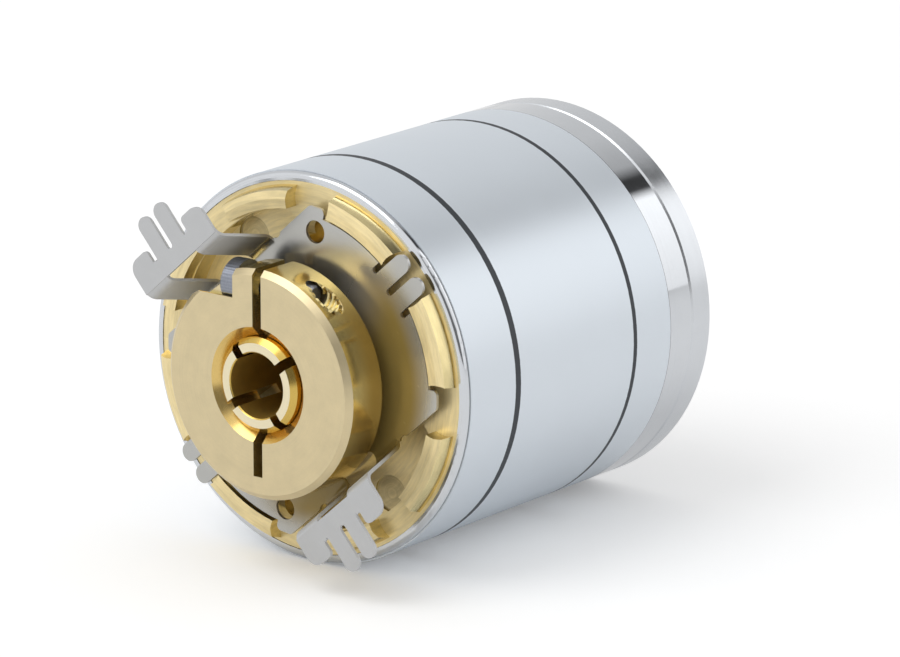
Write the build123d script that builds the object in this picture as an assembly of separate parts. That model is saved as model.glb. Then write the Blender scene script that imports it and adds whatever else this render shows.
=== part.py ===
from build123d import *
import math
import os

# Miniature incremental rotary encoder with a hollow clamping shaft.
# The shaft turns about the Y axis and the front faces -Y, with +Z up.
# The origin is on the shaft axis, in the plane of the two forward spring tabs
# that are fastened to the machine. All sizes are in millimetres.

# Spring plate that holds the housing from turning
SHEET = 0.2
SPRING_HEIGHT = 4.3
CLOCKING = -3.75
PLATE_BORE = 8.8
PLATE_EDGE_GAP = 0.17
PLATE_CHORD_INSET = 0.2
LUG_REACH = 0.6
LUG_WIDTH = 1.14
LUG_ROUNDING = 0.3
PLATE_HOLE = 1.4
PLATE_HOLE_INSET = 0.9
PLATE_HOLE_ANGLE = 40.75
WINDOW_WIDTH = 3.0
WINDOW_DEPTH = 0.8
WINDOW_ROUNDING = 0.4
RELIEF_RADIUS = 0.45
RELIEF_STANDOFF = 0.3
LEG_WIDTH = 2.1
LEG_RING_GAP = 0.4
LEG_SPLAY = 1.05
LEG_BEND_RADIUS = 0.7
TAB_EDGE_ROUNDING = 0.8
LOBE_ROUNDING = 0.3
FINGER_WIDTH = 1.15
FINGER_GAP = 0.45
FINGER_LENGTH = 2.65
LOBE_LENGTH = 1.0
COMB_ROOT = 1.1
SIDE_GAP = 0.4
TAB_TIP_REACH = 0.2
FLAT_TIP_REACH = 0.08

# Brass flange body
RIM_RISE = 0.35
CHANNEL_DEPTH = 0.95
POCKET_DEPTH = 1.3
FLANGE_WALL = 2.2
RIM_WIDTH = 1.06
RIM_SETBACK = 0.45
RIM_BEVEL_WIDTH = 0.48
RIM_BEVEL_DEPTH = 0.13
RIM_DRAFT = 0.22
CHANNEL_WIDTH = 1.47
NOTCH_COUNT = 8
NOTCH_SIDE_GAP = 0.25
POCKET_HALF_ANGLE = 37.5
POCKET_INNER_GAP = 0.4
POCKET_LEDGE = 0.06
SPOT_RADIUS = 1.15
SPOT_DEPTH = 0.12
SPOT_ANGLE = -5.0
PLATE_HOLE_DRILL_DEPTH = 1.6
HUB_LIP = 0.6
LIP_LENGTH = 1.0
LIP_STEP = 0.2
BEARING_RECESS = 0.7
BORE_BEVEL = 0.2
STEP_RADIUS_DROP = 0.5

# Sleeve, wrap and rear cap
HOUSING_DIAMETER = 24.0
SLEEVE_WALL = 0.72
SLEEVE_LEAD = 0.05
SLEEVE_EDGE = 0.1
SLEEVE_FRONT_ROUNDING = 0.35
WRAP_THICKNESS = 0.08
WRAP_START = 0.38
WRAP_SEAM = 0.3
BARE_BAND = 2.25
CAP_THICKNESS = 2.15
CAP_EDGE = 0.35
CAP_JOINT_EDGE = 0.15
SPIGOT_LENGTH = 2.15
SPIGOT_WALL = 1.78
CAP_FLOOR = 1.7
FIT_GAP = 0.02

# Seal rings
SEAL_SECTION = 1.0
SEAL_CORNER = 0.2
SEAL_GROOVE_WIDTH = 1.2
SEAL_SETBACK = 0.6
CAP_SEAL_SETBACK = 0.3

# Cable grommet in the rear cap, with the cable left out
CABLE_BORE = 3.2
GROMMET_NECK = 5.2
GROMMET_FLANGE = 6.8
GROMMET_FLANGE_THICKNESS = 0.8

# Hollow shaft
SHAFT_BORE = 4.0
SHAFT_BORE_DEPTH = 16.0
SHAFT_FRONT = 0.05
SHAFT_SEAT = 6.0
SHAFT_TAIL = 0.5
COLLET_DIAMETER = 5.8
COLLET_BEVEL = 0.32
BORE_MOUTH_BEVEL = 0.07
COLLET_SLOT = 0.6
COLLET_SLOT_LENGTH = 3.9
COLLET_SLOT_ANGLE = 38.0
COLLET_SLOT_COUNT = 4
COLLAR_DIAMETER = 7.2
COLLAR_GAP = 0.1

# Clamp ring and its screw
CLAMP_RING_DIAMETER = 14.0
CLAMP_RING_THICKNESS = 3.0
CLAMP_RING_FRONT = 0.15
CLAMP_RING_EDGE = 0.35
CLAMP_BORE_GAP = 0.03
MOUTH_FLARE = 0.6
CLAMP_SLOT = 0.65
RELIEF_SLOT = 0.68
RELIEF_SLOT_WALL = 1.4
CLAMP_BLOCK = 1.52
SCREW_INSET = 1.35
NOTCH_FLOOR_DROP = 0.6
SCREW_DIAMETER = 1.6
SCREW_HEAD_DIAMETER = 2.8
SCREW_HEAD_LENGTH = 1.16
SCREW_HEAD_EDGE = 0.2
SCREW_END_RECESS = 1.5
SCREW_SEAT_GAP = 0.03
SCREW_CLEARANCE = 0.1
THREAD_GAP = 0.04
HEAD_CLEARANCE = 0.1
SOCKET_ACROSS = 1.5
SOCKET_DEPTH = 0.7

# Two deep-groove ball bearings, 6 x 10 x 3
BEARING_OUTER = 10.0
BEARING_WIDTH = 3.0
RACE_WALL = 0.55
BALL_DIAMETER = 1.3
BALL_COUNT = 9
BALL_GAP = 0.03
CAGE_WALL = 0.56
CAGE_RAIL = 0.3
CAGE_POCKET_GAP = 0.05
RACE_EDGE = 0.12
SHIELD_THICKNESS = 0.12
SHIELD_INSET = 0.1
SHIELD_GAP = 0.07
BEARING_SPAN = 3.0
SPACER_WALL = 0.5
PRELOAD_WASHER_THICKNESS = 0.35

# Code disc and what holds it on the shaft
DISC_THICKNESS = 0.6
DISC_PILLAR_GAP = 0.35
DISC_PILOT_WALL = 0.9
HUB_FLANGE_WALL = 1.6
HUB_FLANGE_START = 0.45
DISC_HUB_LENGTH = 2.25
DISC_WASHER_THICKNESS = 0.4
DISC_WASHER_WALL = 2.0
RETAINER_THICKNESS = 0.4
RETAINER_WALL = 0.9
RETAINER_GROOVE = 0.3
RETAINER_GAP_ANGLE = 40.0
PILOT_LIP = 0.05

# Optics: light source in front of the disc, mask and detector behind it
OPTICS_INSET = 0.8
LED_DIAMETER = 1.5
LED_BODY_LENGTH = 2.4
LED_DISC_GAP = 0.5
HOLDER_WIDTH = 4.4
HOLDER_WALL = 0.25
HOLDER_HUB_GAP = 0.25
HOLDER_DISC_GAP = 0.8
HOLDER_ROUNDING = 0.2
FOOT_WIDTH = 7.6
FOOT_THICKNESS = 1.0
FOOT_SCREW_SPACING = 6.0
FOOT_SCREW_DIAMETER = 0.8
FOOT_SCREW_HEAD = 1.4
FOOT_SCREW_LENGTH = 1.2
FOOT_SCREW_HEAD_HEIGHT = 0.4
LEAD_DIAMETER = 0.3
LEAD_SPACING = 0.8
LEAD_EDGE_INSET = 0.8
LEAD_BEND = 0.5
LEAD_STUB = 1.0
MASK_SIZE = 2.8
MASK_THICKNESS = 0.5
MASK_DISC_GAP = 0.3
DETECTOR_WIDTH = 4.4
DETECTOR_DEPTH = 3.2
DETECTOR_THICKNESS = 0.9

# Circuit boards on three pillars
BOARD_THICKNESS = 1.0
BOARD_EDGE_GAP = 0.3
BOARD_CENTRE_HOLE = 7.2
BOARD_SPACING = 3.0
PILLAR_COUNT = 3
PILLAR_ANGLE = 30.0
PILLAR_DIAMETER = 1.5
PILLAR_EDGE_INSET = 1.0
PILLAR_STUD = 0.5
BOARD_SCREW_DIAMETER = 0.8
BOARD_SCREW_BITE = 2.0
BOARD_SCREW_HEAD = 1.7
BOARD_SCREW_HEAD_HEIGHT = 0.7
BOARD_HOLE_GAP = 0.08
BOARD_SCREW_GAP = 0.05
REAR_ROOM = 0.4
HEADER_PINS = 5
HEADER_PIN_SPACING = 1.27
HEADER_DEPTH = 2.2
HEADER_INSET = 4.2
PIN_DIAMETER = 0.46
PIN_STUB = 0.5
CHIP_HEIGHT = 1.0
CHIP_SIZE = 5.0
CHIP_OFFSET = 4.2
CHIP_RISE = 1.5
CAPACITOR_LENGTH = 1.6
CAPACITOR_WIDTH = 0.8
CAPACITOR_COUNT = 4
CAPACITOR_SPACING = 1.6
CAPACITOR_DROP = 4.6

# Radii that follow from the driving sizes, from the outside inwards
housing_r = HOUSING_DIAMETER / 2
wrap_seat_r = housing_r - WRAP_THICKNESS
sleeve_bore_r = wrap_seat_r - SLEEVE_WALL
lip_bore_r = sleeve_bore_r + LIP_STEP
flange_r = sleeve_bore_r - FIT_GAP
lip_r = lip_bore_r - FIT_GAP
seal_floor_r = flange_r - SEAL_SECTION
rim_outer_r = lip_r - RIM_SETBACK
rim_inner_r = rim_outer_r - RIM_WIDTH
land_r = rim_inner_r - CHANNEL_WIDTH
plate_r = rim_inner_r - PLATE_EDGE_GAP
lug_r = plate_r + LUG_REACH
plate_hole_r = plate_r - PLATE_HOLE_INSET
notch_centre_r = (rim_inner_r + rim_outer_r) / 2
notch_radius = FINGER_WIDTH + FINGER_GAP / 2 + NOTCH_SIDE_GAP
board_r = sleeve_bore_r - BOARD_EDGE_GAP
pillar_circle_r = board_r - PILLAR_EDGE_INSET
disc_r = pillar_circle_r - PILLAR_DIAMETER / 2 - DISC_PILLAR_GAP
optics_r = disc_r - OPTICS_INSET
lead_r = board_r - LEAD_EDGE_INSET
holder_depth = LED_DIAMETER + 2 * HOLDER_WALL
hub_r = optics_r - holder_depth / 2 - HOLDER_HUB_GAP

shaft_bore_r = SHAFT_BORE / 2
shaft_seat_r = SHAFT_SEAT / 2
collet_r = COLLET_DIAMETER / 2
collar_r = COLLAR_DIAMETER / 2
bearing_r = BEARING_OUTER / 2
ball_r = BALL_DIAMETER / 2
ball_circle_r = (shaft_seat_r + bearing_r) / 2
race_r = ball_r + BALL_GAP
inner_race_r = shaft_seat_r + RACE_WALL
outer_race_r = bearing_r - RACE_WALL
bearing_bore_r = bearing_r + FIT_GAP / 2
bearing_step_r = bearing_r - STEP_RADIUS_DROP

clamp_ring_r = CLAMP_RING_DIAMETER / 2
clamp_bore_r = collet_r + CLAMP_BORE_GAP
leg_root = clamp_ring_r + LEG_RING_GAP
chord = leg_root - PLATE_CHORD_INSET
pocket_inner_r = chord - POCKET_INNER_GAP
tab_root = leg_root + LEG_SPLAY

# Stations along the axis, from the mounting plane rearwards
plate_front = SPRING_HEIGHT - SHEET
rim_front = SPRING_HEIGHT - RIM_RISE
floor_y = rim_front + CHANNEL_DEPTH
pocket_y = floor_y + POCKET_DEPTH
flange_rear = pocket_y + FLANGE_WALL
front_bearing_y = SPRING_HEIGHT + BEARING_RECESS
rear_bearing_y = front_bearing_y + BEARING_WIDTH + BEARING_SPAN
bearings_rear = rear_bearing_y + BEARING_WIDTH
hub_rear = bearings_rear + HUB_LIP
disc_hub_front = bearings_rear + PRELOAD_WASHER_THICKNESS
disc_front = disc_hub_front + DISC_HUB_LENGTH
disc_rear = disc_front + DISC_THICKNESS
disc_washer_rear = disc_rear + DISC_WASHER_THICKNESS
retainer_rear = disc_washer_rear + RETAINER_THICKNESS
shaft_rear = retainer_rear + SHAFT_TAIL
mask_front = disc_rear + MASK_DISC_GAP
detector_front = mask_front + MASK_THICKNESS
sensor_board_front = detector_front + DETECTOR_THICKNESS
sensor_board_rear = sensor_board_front + BOARD_THICKNESS
driver_board_front = sensor_board_rear + BOARD_SPACING
driver_board_rear = driver_board_front + BOARD_THICKNESS
board_screws_rear = driver_board_rear + BOARD_SCREW_HEAD_HEIGHT
sleeve_front = floor_y - SLEEVE_LEAD
lip_rear = floor_y + LIP_LENGTH
wrap_front = sleeve_front + WRAP_START
spigot_front = board_screws_rear + REAR_ROOM
sleeve_rear = spigot_front + SPIGOT_LENGTH
wrap_rear = sleeve_rear - BARE_BAND
housing_rear = sleeve_rear + CAP_THICKNESS
flange_seal_y = flange_rear - SEAL_SETBACK - SEAL_GROOVE_WIDTH
cap_seal_y = spigot_front + CAP_SEAL_SETBACK
cap_floor_y = housing_rear - CAP_FLOOR
clamp_ring_rear = CLAMP_RING_FRONT + CLAMP_RING_THICKNESS
collar_front = clamp_ring_rear + COLLAR_GAP

# The clamp screw lies along X, half way through the ring
screw_y = (CLAMP_RING_FRONT + clamp_ring_rear) / 2
screw_z = clamp_ring_r - SCREW_INSET
notch_floor_z = screw_z - NOTCH_FLOOR_DROP
head_seat_x = -CLAMP_SLOT / 2 - CLAMP_BLOCK
screw_exit_x = math.sqrt(clamp_ring_r**2 - screw_z**2)
screw_r = SCREW_DIAMETER / 2
screw_head_r = SCREW_HEAD_DIAMETER / 2

OVERRUN = 1.0
tab_angles = [CLOCKING + 135.0, CLOCKING - 45.0]
flat_comb_angles = [CLOCKING + 45.0, CLOCKING - 135.0]


def front_plane(y):
    """A sketch plane at y that is drawn as the front view shows it."""
    return Plane(origin=(0, y, 0), x_dir=(1, 0, 0), z_dir=(0, -1, 0))


def slab(sketch, y_front, y_rear):
    """A front-view sketch as a flat body between two stations."""
    return extrude(front_plane(y_rear) * sketch, amount=y_rear - y_front)


def turned(points):
    """A body turned about the shaft axis from a list of (radius, y) points."""
    return revolve(make_face(Polyline(*points, close=True)), Axis.Y)


def ring(r_in, r_out, y_front, y_rear, front_edge=0.0, rear_edge=0.0):
    """A plain ring with bevelled outer edges where they are asked for."""
    points = [(r_in, y_front), (r_out - front_edge, y_front)]
    if front_edge > 0:
        points.append((r_out, y_front + front_edge))
    if rear_edge > 0:
        points.append((r_out, y_rear - rear_edge))
    points += [(r_out - rear_edge, y_rear), (r_in, y_rear)]
    return turned(points)


def rod_y(radius, y_front, y_rear, x=0.0, z=0.0):
    """A round rod parallel to the shaft axis."""
    return slab(Pos(x, z) * Circle(radius), y_front, y_rear)


def rod_x(radius, x_start, x_end, y, z):
    """A round rod parallel to the X axis."""
    section = Plane(origin=(x_start, y, z), z_dir=(1, 0, 0)) * Circle(radius)
    return extrude(section, amount=x_end - x_start)


def clocked(shape, angle):
    """The shape turned about the shaft axis, counter-clockwise in the front view."""
    return Rot(0, -angle, 0) * shape


def polar(radius, angle):
    """The x and z of a point at this radius and front-view angle."""
    turn = math.radians(angle)
    return radius * math.cos(turn), radius * math.sin(turn)


def torus_y(major, minor, y):
    """A ring of round section about the shaft axis."""
    return Pos(0, y, 0) * Rot(90, 0, 0) * Torus(major, minor)


def comb_gaps(tip):
    """The three round-ended slots of a comb that points along +X, its tips at x = tip."""
    slot_end = tip - FINGER_LENGTH
    side_slot = FINGER_WIDTH + (FINGER_GAP + SIDE_GAP) / 2
    slot_length = FINGER_LENGTH + OVERRUN
    gaps = Sketch()
    for t, width in ((0, FINGER_GAP), (side_slot, SIDE_GAP), (-side_slot, SIDE_GAP)):
        gaps += Pos(slot_end + slot_length / 2, t) * SlotOverall(slot_length, width)
    return gaps


def comb_fingers(tip):
    """The two round-ended fingers between the slots of a comb."""
    finger_centre = (FINGER_WIDTH + FINGER_GAP) / 2
    fingers = Sketch()
    for t in (finger_centre, -finger_centre):
        fingers += Pos(tip - FINGER_LENGTH / 2, t) * SlotOverall(FINGER_LENGTH, FINGER_WIDTH)
    return fingers


def comb_sketch(tip):
    """Two fingers between two rounded lobes, pointing along +X with their tips at x = tip."""
    lobe_end = tip - FINGER_LENGTH + LOBE_LENGTH
    root = tip - FINGER_LENGTH - COMB_ROOT
    half_width = WINDOW_WIDTH / 2 + LEG_WIDTH
    palm = Pos((root + lobe_end) / 2, 0) * Rectangle(lobe_end - root, 2 * half_width)
    palm = fillet(palm.vertices().sort_by(Axis.X)[-2:], TAB_EDGE_ROUNDING)
    palm -= comb_gaps(tip)
    outer_side = FINGER_WIDTH + FINGER_GAP / 2 + SIDE_GAP
    mouths = palm.vertices().filter_by(
        lambda v: v.X > lobe_end - LOBE_ROUNDING and abs(abs(v.Y) - outer_side) < LOBE_ROUNDING / 2
    )
    palm = fillet(mouths, LOBE_ROUNDING)
    return palm + comb_fingers(tip)


def spring_plate_sketch():
    """The flat of the spring, drawn with its flat combs on the X axis."""
    blank = Circle(lug_r) & Rectangle(2 * lug_r, 2 * chord)
    rim_arc = Circle(lug_r + OVERRUN) - Circle(plate_r)
    reach = 2 * lug_r
    corner_turn = math.asin(chord / lug_r)
    half_turn = corner_turn - LUG_WIDTH / lug_r
    wedge_y = reach * math.tan(half_turn)
    for side in (1, -1):
        wedge = make_face(
            Polyline((0, 0), (side * reach, wedge_y), (side * reach, -wedge_y), close=True)
        )
        blank -= rim_arc & wedge
    tips = blank.vertices().filter_by(lambda v: math.hypot(v.X, v.Y) > lug_r - PLATE_EDGE_GAP)
    blank = fillet(tips, LUG_ROUNDING)

    flat_tip = lip_r + FLAT_TIP_REACH
    for angle in (0, 180):
        blank += Rot(0, 0, angle) * comb_fingers(flat_tip)
        blank -= Rot(0, 0, angle) * comb_gaps(flat_tip)
    blank -= Circle(PLATE_BORE / 2)
    for angle in (PLATE_HOLE_ANGLE, PLATE_HOLE_ANGLE + 180):
        x, y = polar(plate_hole_r, angle)
        blank -= Pos(x, y) * Circle(PLATE_HOLE / 2)
    return blank


def spring_leg_pair():
    """Two bent legs that rise forward from the plate, for a tab on the +X side."""
    path = FilletPolyline(
        (chord - WINDOW_DEPTH / 2, SPRING_HEIGHT - SHEET / 2),
        (leg_root, SPRING_HEIGHT - SHEET / 2),
        (tab_root, SHEET / 2),
        (tab_root + 2 * LEG_BEND_RADIUS, SHEET / 2),
        radius=LEG_BEND_RADIUS,
    )
    section = trace(path, line_width=SHEET)
    start = WINDOW_WIDTH / 2
    leg = extrude(Pos(0, 0, start) * section, amount=LEG_WIDTH)
    return leg + mirror(leg, Plane.XY)


def stator_spring():
    """Spring plate with two flat combs in the rim and two forward tabs for the machine."""
    plate = slab(spring_plate_sketch(), plate_front, SPRING_HEIGHT)
    window_length = WINDOW_DEPTH + OVERRUN
    window = Pos(chord - WINDOW_DEPTH + window_length / 2, 0)
    window *= RectangleRounded(window_length, WINDOW_WIDTH, WINDOW_ROUNDING)
    relief_t = WINDOW_WIDTH / 2 + LEG_WIDTH + RELIEF_RADIUS
    reliefs = [Pos(chord + RELIEF_STANDOFF, t) * Circle(RELIEF_RADIUS) for t in (relief_t, -relief_t)]
    cut = slab(window + reliefs, plate_front - OVERRUN, SPRING_HEIGHT + OVERRUN)
    tab_tip = tab_root + COMB_ROOT + FINGER_LENGTH + TAB_TIP_REACH
    tab = slab(comb_sketch(tab_tip), 0, SHEET) + spring_leg_pair()

    spring = clocked(plate, flat_comb_angles[0])
    for angle in tab_angles:
        spring -= clocked(cut, angle)
    for angle in tab_angles:
        spring += clocked(tab, angle)
    return spring


def pocket_sketch():
    """A curved pocket with round ends, centred on the X axis."""
    outer_r = rim_inner_r - POCKET_LEDGE
    centre_r = (pocket_inner_r + outer_r) / 2
    half_width = (outer_r - pocket_inner_r) / 2
    end_turn = math.degrees(half_width / centre_r)
    pocket = Circle(outer_r) - Circle(pocket_inner_r)
    reach = 2 * rim_inner_r
    end_x, end_y = polar(reach, POCKET_HALF_ANGLE - end_turn)
    wedge = make_face(Polyline((0, 0), (end_x, end_y), (end_x, -end_y), close=True))
    pocket &= wedge
    for side in (1, -1):
        x, y = polar(centre_r, side * (POCKET_HALF_ANGLE - end_turn))
        pocket += Pos(x, y) * Circle(half_width)
    return pocket


def flange_body():
    """Brass body: castellated rim, spring seat, bearing hub and seal groove."""
    body = turned(
        [
            (bearing_bore_r + BORE_BEVEL, SPRING_HEIGHT),
            (land_r, SPRING_HEIGHT),
            (land_r, floor_y),
            (rim_inner_r, floor_y),
            (rim_inner_r, rim_front),
            (rim_outer_r - RIM_BEVEL_WIDTH, rim_front),
            (rim_outer_r, rim_front + RIM_BEVEL_DEPTH),
            (rim_outer_r + RIM_DRAFT, floor_y),
            (lip_r, floor_y),
            (lip_r, lip_rear),
            (flange_r, lip_rear),
            (flange_r, flange_seal_y),
            (seal_floor_r, flange_seal_y),
            (seal_floor_r, flange_seal_y + SEAL_GROOVE_WIDTH),
            (flange_r, flange_seal_y + SEAL_GROOVE_WIDTH),
            (flange_r, flange_rear),
            (hub_r, flange_rear),
            (hub_r, hub_rear),
            (bearing_bore_r, hub_rear),
            (bearing_bore_r, rear_bearing_y),
            (bearing_step_r, rear_bearing_y),
            (bearing_step_r, front_bearing_y + BEARING_WIDTH),
            (bearing_bore_r, front_bearing_y + BEARING_WIDTH),
            (bearing_bore_r, SPRING_HEIGHT + BORE_BEVEL),
        ]
    )
    notch = slab(Circle(notch_radius), rim_front - OVERRUN, floor_y)
    for index in range(NOTCH_COUNT):
        x, z = polar(notch_centre_r, CLOCKING + index * 360 / NOTCH_COUNT)
        body -= Pos(x, 0, z) * notch

    pocket = slab(pocket_sketch(), SPRING_HEIGHT - OVERRUN, pocket_y)
    spot_x, spot_z = polar(plate_hole_r, SPOT_ANGLE)
    spot = rod_y(SPOT_RADIUS, pocket_y - OVERRUN, pocket_y + SPOT_DEPTH, spot_x, spot_z)
    for angle in tab_angles:
        body -= clocked(pocket, angle)
        body -= clocked(spot, angle)

    drill_x, drill_z = polar(plate_hole_r, PLATE_HOLE_ANGLE)
    drill = rod_y(
        PLATE_HOLE / 2, SPRING_HEIGHT - OVERRUN, floor_y + PLATE_HOLE_DRILL_DEPTH, drill_x, drill_z
    )
    for angle in flat_comb_angles:
        body -= clocked(drill, angle)

    for x, z in pillar_places():
        body -= rod_y(BOARD_SCREW_DIAMETER / 2, flange_rear - PILLAR_STUD, flange_rear, x, z)
    for x in (-FOOT_SCREW_SPACING / 2, FOOT_SCREW_SPACING / 2):
        hole_front = flange_rear - FOOT_SCREW_LENGTH - FIT_GAP
        body -= rod_y(FOOT_SCREW_DIAMETER / 2 + FIT_GAP, hole_front, flange_rear, x, optics_r)
    return body


def housing_sleeve():
    """Aluminium sleeve with a shallow seat for the wrap and a bare band behind it."""
    sleeve = turned(
        [
            (lip_bore_r, sleeve_front),
            (wrap_seat_r, sleeve_front),
            (wrap_seat_r, wrap_rear),
            (housing_r, wrap_rear),
            (housing_r, sleeve_rear - SLEEVE_EDGE),
            (housing_r - SLEEVE_EDGE, sleeve_rear),
            (sleeve_bore_r, sleeve_rear),
            (sleeve_bore_r, lip_rear),
            (lip_bore_r, lip_rear),
        ]
    )
    front_edges = sleeve.edges().group_by(Axis.Y)[0].sort_by(lambda edge: edge.radius)
    return fillet(front_edges[-1], SLEEVE_FRONT_ROUNDING)


def sleeve_wrap():
    """Thin satin foil round the sleeve, with its seam on the underside."""
    foil = ring(wrap_seat_r, housing_r, wrap_front, wrap_rear)
    seam_length = wrap_rear - wrap_front + 2 * OVERRUN
    seam = Box(WRAP_SEAM, seam_length, 2 * WRAP_THICKNESS + OVERRUN)
    return foil - Pos(0, (wrap_front + wrap_rear) / 2, -housing_r) * seam


def rear_cap():
    """Turned aluminium cap with a spigot, a seal groove and a seat for the grommet."""
    hollow_r = flange_r - SPIGOT_WALL
    neck_r = GROMMET_NECK / 2
    flange_seat_r = GROMMET_FLANGE / 2
    seat_y = housing_rear - GROMMET_FLANGE_THICKNESS
    return turned(
        [
            (hollow_r, spigot_front),
            (flange_r, spigot_front),
            (flange_r, cap_seal_y),
            (seal_floor_r, cap_seal_y),
            (seal_floor_r, cap_seal_y + SEAL_GROOVE_WIDTH),
            (flange_r, cap_seal_y + SEAL_GROOVE_WIDTH),
            (flange_r, sleeve_rear),
            (housing_r - CAP_JOINT_EDGE, sleeve_rear),
            (housing_r, sleeve_rear + CAP_JOINT_EDGE),
            (housing_r, housing_rear - CAP_EDGE),
            (housing_r - CAP_EDGE, housing_rear),
            (flange_seat_r, housing_rear),
            (flange_seat_r, seat_y),
            (neck_r, seat_y),
            (neck_r, cap_floor_y),
            (hollow_r, cap_floor_y),
        ]
    )


def seal_ring(groove_front):
    """Square-cut rubber ring in a seal groove, with its outer corners taken off."""
    seal_front = groove_front + (SEAL_GROOVE_WIDTH - SEAL_SECTION) / 2
    seal_rear = seal_front + SEAL_SECTION
    return ring(seal_floor_r, flange_r, seal_front, seal_rear, SEAL_CORNER, SEAL_CORNER)


def cable_grommet():
    """Rubber grommet that grips the cap's plate from both sides."""
    neck_r = GROMMET_NECK / 2
    flange_r_out = GROMMET_FLANGE / 2 - FIT_GAP
    bore_r = CABLE_BORE / 2
    return turned(
        [
            (bore_r, cap_floor_y - GROMMET_FLANGE_THICKNESS),
            (flange_r_out, cap_floor_y - GROMMET_FLANGE_THICKNESS),
            (flange_r_out, cap_floor_y),
            (neck_r, cap_floor_y),
            (neck_r, housing_rear - GROMMET_FLANGE_THICKNESS),
            (flange_r_out, housing_rear - GROMMET_FLANGE_THICKNESS),
            (flange_r_out, housing_rear),
            (bore_r, housing_rear),
        ]
    )


def hollow_shaft():
    """Brass shaft: slotted collet in front, collar, bearing seat and retainer groove."""
    groove_r = shaft_seat_r - RETAINER_GROOVE
    shaft = turned(
        [
            (shaft_bore_r + BORE_MOUTH_BEVEL, SHAFT_FRONT),
            (collet_r - COLLET_BEVEL, SHAFT_FRONT),
            (collet_r, SHAFT_FRONT + COLLET_BEVEL),
            (collet_r, collar_front),
            (collar_r, collar_front),
            (collar_r, front_bearing_y),
            (shaft_seat_r, front_bearing_y),
            (shaft_seat_r, disc_washer_rear),
            (groove_r, disc_washer_rear),
            (groove_r, retainer_rear),
            (shaft_seat_r, retainer_rear),
            (shaft_seat_r, shaft_rear),
            (0, shaft_rear),
            (0, SHAFT_BORE_DEPTH),
            (shaft_bore_r, SHAFT_BORE_DEPTH),
            (shaft_bore_r, SHAFT_FRONT + BORE_MOUTH_BEVEL),
        ]
    )
    slot_x = (shaft_bore_r + collar_r) / 2 + OVERRUN / 2
    slot_sketch = Pos(slot_x, 0) * Rectangle(collar_r - shaft_bore_r + OVERRUN + COLLET_SLOT, COLLET_SLOT)
    slot = slab(slot_sketch, SHAFT_FRONT - OVERRUN, SHAFT_FRONT + COLLET_SLOT_LENGTH)
    for index in range(COLLET_SLOT_COUNT):
        shaft -= clocked(slot, COLLET_SLOT_ANGLE + index * 360 / COLLET_SLOT_COUNT)
    return shaft


def clamp_ring():
    """Split ring that squeezes the collet, with a notch for the screw's head."""
    body = turned(
        [
            (clamp_bore_r + MOUTH_FLARE, CLAMP_RING_FRONT),
            (clamp_ring_r - CLAMP_RING_EDGE, CLAMP_RING_FRONT),
            (clamp_ring_r, CLAMP_RING_FRONT + CLAMP_RING_EDGE),
            (clamp_ring_r, clamp_ring_rear),
            (clamp_bore_r, clamp_ring_rear),
            (clamp_bore_r, CLAMP_RING_FRONT + MOUTH_FLARE),
        ]
    )
    cut_front = CLAMP_RING_FRONT - OVERRUN
    cut_rear = clamp_ring_rear + OVERRUN
    cut_reach = clamp_ring_r + OVERRUN
    slot = Pos(0, cut_reach / 2) * Rectangle(CLAMP_SLOT, cut_reach)
    relief_end = clamp_ring_r - RELIEF_SLOT_WALL
    relief = Pos(0, -relief_end / 2) * Rectangle(RELIEF_SLOT, relief_end)
    notch_width = cut_reach + head_seat_x
    notch_height = cut_reach - notch_floor_z
    notch = Pos(head_seat_x - notch_width / 2, notch_floor_z + notch_height / 2)
    notch *= Rectangle(notch_width, notch_height)
    body -= slab(slot + relief + notch, cut_front, cut_rear)
    body -= rod_x(screw_head_r + HEAD_CLEARANCE, -cut_reach, head_seat_x, screw_y, screw_z)
    body -= rod_x(screw_r + SCREW_CLEARANCE, head_seat_x - OVERRUN, 0, screw_y, screw_z)
    body -= rod_x(screw_r + THREAD_GAP, 0, cut_reach, screw_y, screw_z)
    return body


def clamp_screw():
    """Socket-head screw that closes the clamp ring's slot."""
    head_inner_x = head_seat_x - SCREW_SEAT_GAP
    head_outer_x = head_inner_x - SCREW_HEAD_LENGTH
    head = rod_x(screw_head_r, head_outer_x, head_inner_x, screw_y, screw_z)
    head = chamfer(head.edges().group_by(Axis.X)[0], SCREW_HEAD_EDGE)
    shank = rod_x(screw_r, head_inner_x, screw_exit_x - SCREW_END_RECESS, screw_y, screw_z)
    socket = Plane(origin=(head_outer_x, screw_y, screw_z), z_dir=(1, 0, 0)) * RegularPolygon(
        SOCKET_ACROSS / 2, 6, major_radius=False
    )
    return head + shank - extrude(socket, amount=SOCKET_DEPTH)


def bearing_outer_ring(y_front):
    """Outer ring of a ball bearing with its race."""
    race = torus_y(ball_circle_r, race_r, y_front + BEARING_WIDTH / 2)
    body = ring(
        outer_race_r, bearing_r, y_front, y_front + BEARING_WIDTH, RACE_EDGE, RACE_EDGE
    )
    return body - race


def bearing_inner_ring(y_front):
    """Inner ring of a ball bearing with its race."""
    race = torus_y(ball_circle_r, race_r, y_front + BEARING_WIDTH / 2)
    body = ring(shaft_seat_r, inner_race_r, y_front, y_front + BEARING_WIDTH)
    return body - race


def bearing_shields(y_front):
    """Two thin steel shields pressed in the outer ring, clear of the inner ring."""
    inner_r = inner_race_r + SHIELD_GAP
    front = y_front + SHIELD_INSET
    rear = y_front + BEARING_WIDTH - SHIELD_INSET
    return [
        ring(inner_r, outer_race_r, front, front + SHIELD_THICKNESS),
        ring(inner_r, outer_race_r, rear - SHIELD_THICKNESS, rear),
    ]


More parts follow.
